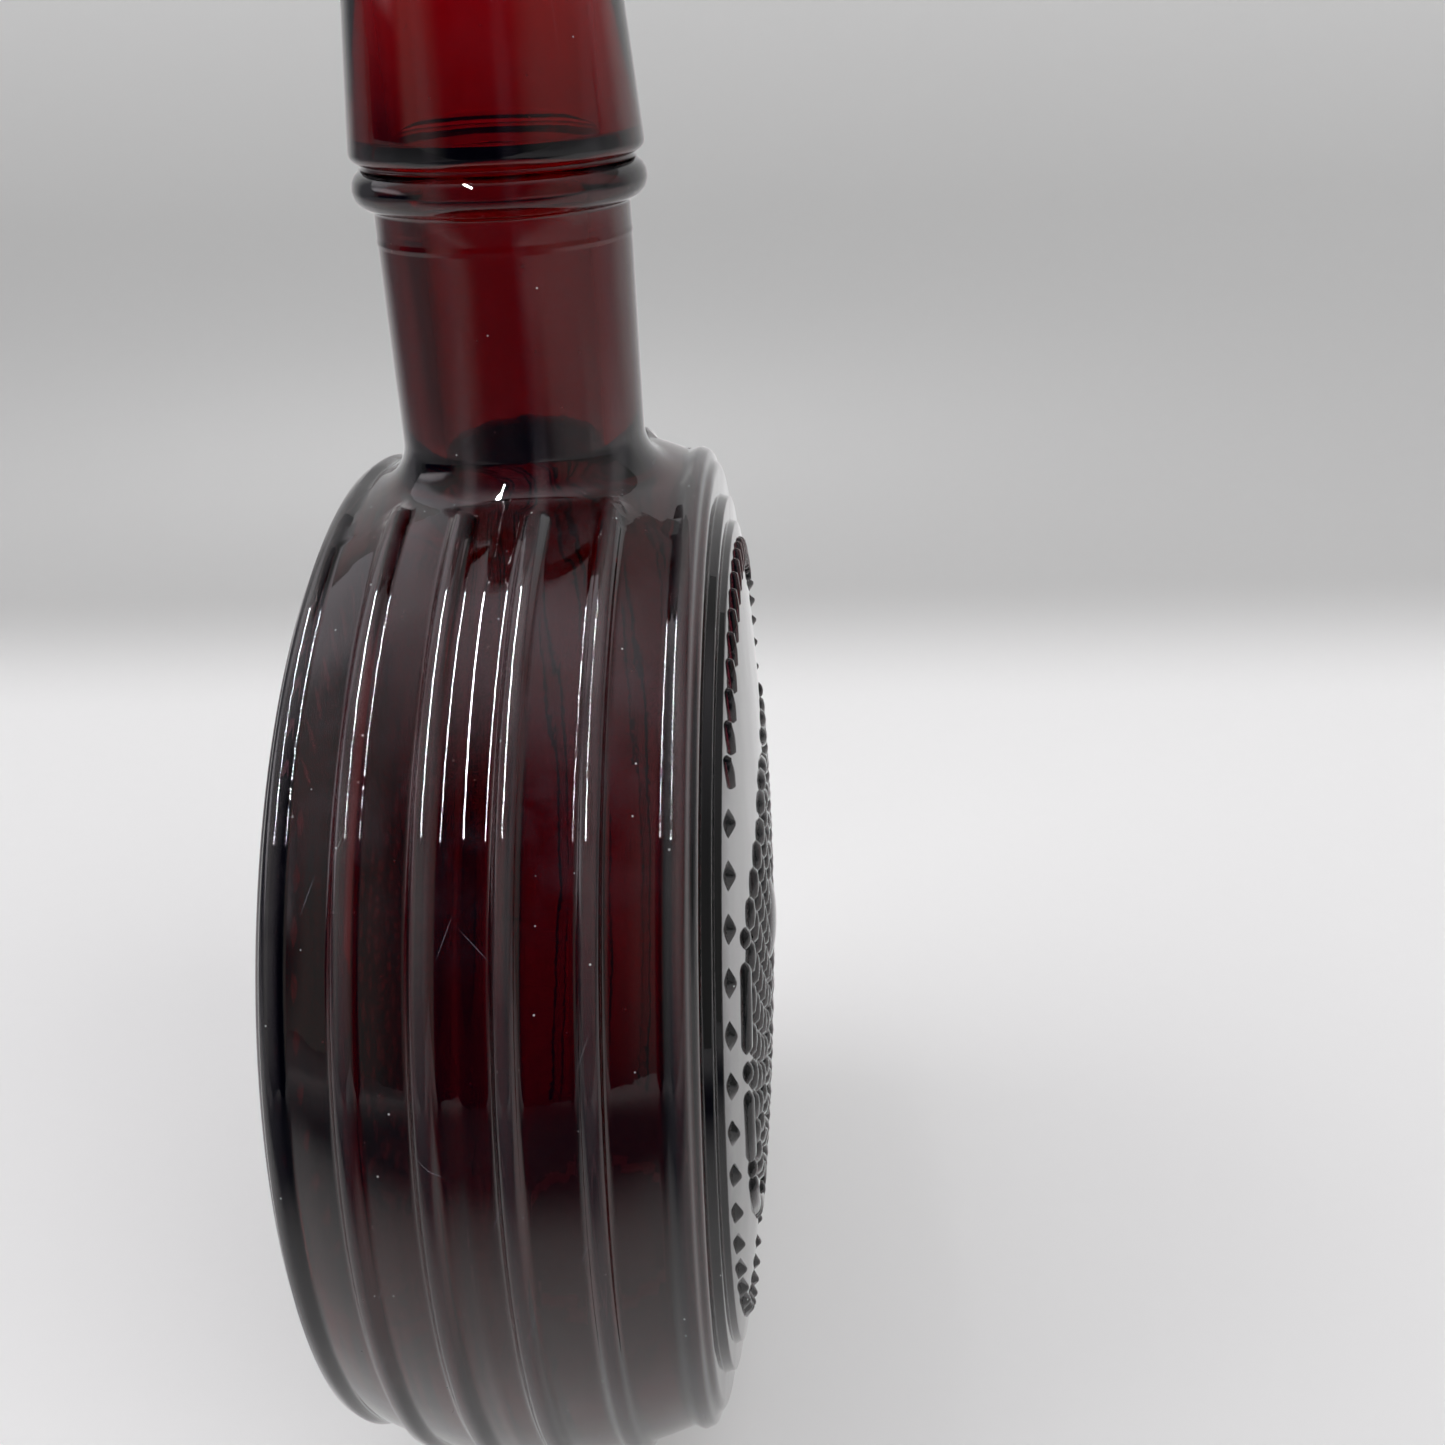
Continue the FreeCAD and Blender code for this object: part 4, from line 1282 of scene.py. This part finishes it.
def studio_world(finish):
    """A studio: bright overhead, grey behind and beside the bottle, dim in front, two windows at the left."""
    world = bpy.data.worlds.new("studio")
    world.use_nodes = True
    world.node_tree.nodes.clear()
    net = Net(world.node_tree)
    x, y, z = net.parts(net.node("ShaderNodeTexCoord").output("Generated"))
    wall, dome, room = tuple(finish.floor_far), tuple(finish.overhead), tuple(finish.room)
    beside = net.maths("ABSOLUTE", x)
    sides = net.fade(beside, *BESIDE) * net.fade(x, *FAR_LEFT)
    around = net.maths("MAXIMUM", net.fade(y + z * BEHIND_LEAN, *BEHIND), sides)
    studio = net.blend(around, room, scaled(wall, GREY_SHARE))
    overhead = net.fade(y, *OVERHEAD_FRONT) * net.fade(y, *OVERHEAD_BACK, 1.0, OVERHEAD_REST)
    overhead = overhead * net.fade(z, *OVERHEAD_RISE)
    overhead = overhead * net.fade(beside, *OVERHEAD_SIDES, 1.0, OVERHEAD_SIDE_REST)
    studio = net.blend(overhead, studio, dome)
    back_window = net.fade(y, *BACK_WINDOW["y"]) * net.fade(z, *BACK_WINDOW["z"])
    back_window = back_window * net.fade(x, *BACK_WINDOW["x"], 1.0, 0.0)
    side_window = net.fade(x, *SIDE_WINDOW["x"], 1.0, 0.0) * net.fade(z, *SIDE_WINDOW["z"])
    studio = net.blend(back_window, studio, scaled(dome, BACK_WINDOW_SHARE))
    studio = net.blend(side_window, studio, scaled(dome, SIDE_WINDOW_SHARE))
    ray = net.node("ShaderNodeLightPath")
    seen = net.maths("MAXIMUM", ray.output("Is Camera Ray"), ray.output("Is Transmission Ray"))
    shade = net.blend(seen, studio, scaled(wall, BACKGROUND_SHARE))
    light = net.node("ShaderNodeBackground", {}, {"Color": shade, "Strength": 1.0})
    net.node("ShaderNodeOutputWorld", {}, {"Surface": light})
    bpy.context.scene.world = world


# Places, targets and sizes in metres, power, and the rays that don't see the lamp
LAMPS = {
    "left_softbox": {
        "place": (-1.3, -0.1, 0.9),
        "target": (0.0, 0.1, 0.0),
        "size": (1.6, 1.4),
        "watts": 9.5,
        "hidden": ("visible_glossy",),
    },
    "right_softbox": {
        "place": (1.2, -0.7, 1.0),
        "target": (0.0, 0.2, 0.1),
        "size": (1.6, 1.4),
        "watts": 14.5,
        "hidden": ("visible_glossy",),
    },
    "overhead_strip": {
        "place": (-0.33, -0.4, 1.4),
        "target": (-0.33, -0.4, 0.0),
        "size": (0.04, 1.5),
        "watts": 45.0,
        "hidden": ("visible_diffuse", "visible_transmission"),
    },
}


def soft_light(name, place, target, size, watts, hidden):
    """A rectangular studio light that faces a point."""
    data = bpy.data.lights.new(name, "AREA")
    data.shape = "RECTANGLE"
    data.size, data.size_y = size
    data.energy = watts
    light = bpy.data.objects.new(name, data)
    light.location = place
    light.rotation_euler = (Vector(target) - Vector(place)).to_track_quat("-Z", "Y").to_euler()
    for ray in hidden:
        setattr(light, ray, False)
    bpy.context.scene.collection.objects.link(light)


# Metres, degrees turned into radians, and the focal length in millimetres
CAMERA_PLACE = (0.03072, -0.16235, 0.16656)
CAMERA_AZIMUTH = radians(3.603)
CAMERA_ELEVATION = radians(26.24)
CAMERA_ROLL = radians(-2.363)
CAMERA_LENS = 37.59


def photo_camera():
    """The camera at the viewing angle of the photograph."""
    data = bpy.data.cameras.new("camera")
    data.lens = CAMERA_LENS
    data.sensor_width = 36.0
    data.clip_start = 0.005
    camera = bpy.data.objects.new("camera", data)
    sin_a, cos_a = np.sin(CAMERA_AZIMUTH), np.cos(CAMERA_AZIMUTH)
    sin_e, cos_e = np.sin(CAMERA_ELEVATION), np.cos(CAMERA_ELEVATION)
    back = Vector((sin_a * cos_e, -cos_a * cos_e, sin_e))
    right = Vector((cos_a, sin_a, 0.0))
    turn = Matrix((right, back.cross(right), back)).transposed()
    turn = turn @ Matrix.Rotation(CAMERA_ROLL, 3, "Z")
    camera.matrix_world = Matrix.Translation(CAMERA_PLACE) @ turn.to_4x4()
    bpy.context.scene.collection.objects.link(camera)
    bpy.context.scene.camera = camera


# Tabletop and backdrop, metres
SWEEP_START = 0.25        # end of the flat tabletop behind the bottle
SWEEP_ROUND = 0.10
SWEEP_HEIGHT = 0.45
SWEEP_REACH = 3.0         # to either side
TABLE_FRONT = -1.50       # front edge of the tabletop
SWEEP_POINTS = 25


def sweep_mesh():
    """A tabletop that curves up into a backdrop well behind the bottle."""
    turn = np.linspace(0, pi / 2, SWEEP_POINTS)
    side = np.column_stack([SWEEP_START + SWEEP_ROUND * np.sin(turn), SWEEP_ROUND * (1 - np.cos(turn))])
    side = np.concatenate([[[TABLE_FRONT, 0.0]], side, [[SWEEP_START + SWEEP_ROUND, SWEEP_HEIGHT]]])
    points = [(x, y, z) for y, z in side for x in (-SWEEP_REACH, SWEEP_REACH)]
    mesh = bpy.data.meshes.new("tabletop")
    mesh.from_pydata(points, [], [(k, k + 1, k + 3, k + 2) for k in range(0, len(points) - 2, 2)])
    mesh.shade_smooth()
    return mesh


class OILBOTTLE_OT_stage(bpy.types.Operator):
    """Make the floor, the lights and the camera"""

    bl_idname = "oil_bottle.stage"
    bl_label = "Stage"

    def execute(self, context):
        finish = context.scene.oil_bottle.finish
        floor = new_piece("tabletop", sweep_mesh())
        floor.data.materials.append(floor_material(finish))
        studio_world(finish)
        for name, lamp in LAMPS.items():
            soft_light(name, **lamp)
        photo_camera()
        context.scene.view_settings.view_transform = "Standard"
        return {"FINISHED"}


class OILBOTTLE_PT_sidebar(bpy.types.Panel):
    """Pieces and settings of the bottle"""

    bl_idname = "OILBOTTLE_PT_sidebar"
    bl_label = "Oil bottle"
    bl_space_type = "VIEW_3D"
    bl_region_type = "UI"
    bl_category = "Oil bottle"

    def draw(self, context):
        settings = context.scene.oil_bottle
        for operator in OPERATORS:
            self.layout.operator(operator.bl_idname)
        for group in (settings.glass, settings.relief, settings.stopper, settings.finish):
            box = self.layout.box()
            for name in group.bl_rna.properties.keys():
                if name not in ("name", "rna_type"):
                    box.prop(group, name)


GROUPS = (GlassSizes, ReliefSizes, StopperSizes, Finishes, OilBottleSettings)
OPERATORS = (OILBOTTLE_OT_glass, OILBOTTLE_OT_stopper, OILBOTTLE_OT_stage)
CLASSES = (*GROUPS, *OPERATORS, OILBOTTLE_PT_sidebar)


def register():
    for cls in CLASSES:
        bpy.utils.register_class(cls)
    bpy.types.Scene.oil_bottle = PointerProperty(type=OilBottleSettings)


def unregister():
    del bpy.types.Scene.oil_bottle
    for cls in reversed(CLASSES):
        bpy.utils.unregister_class(cls)


def main():
    register()
    bpy.ops.oil_bottle.stage()
    bpy.ops.oil_bottle.glass()
    bpy.ops.oil_bottle.stopper()


if __name__ == "__main__":
    main()
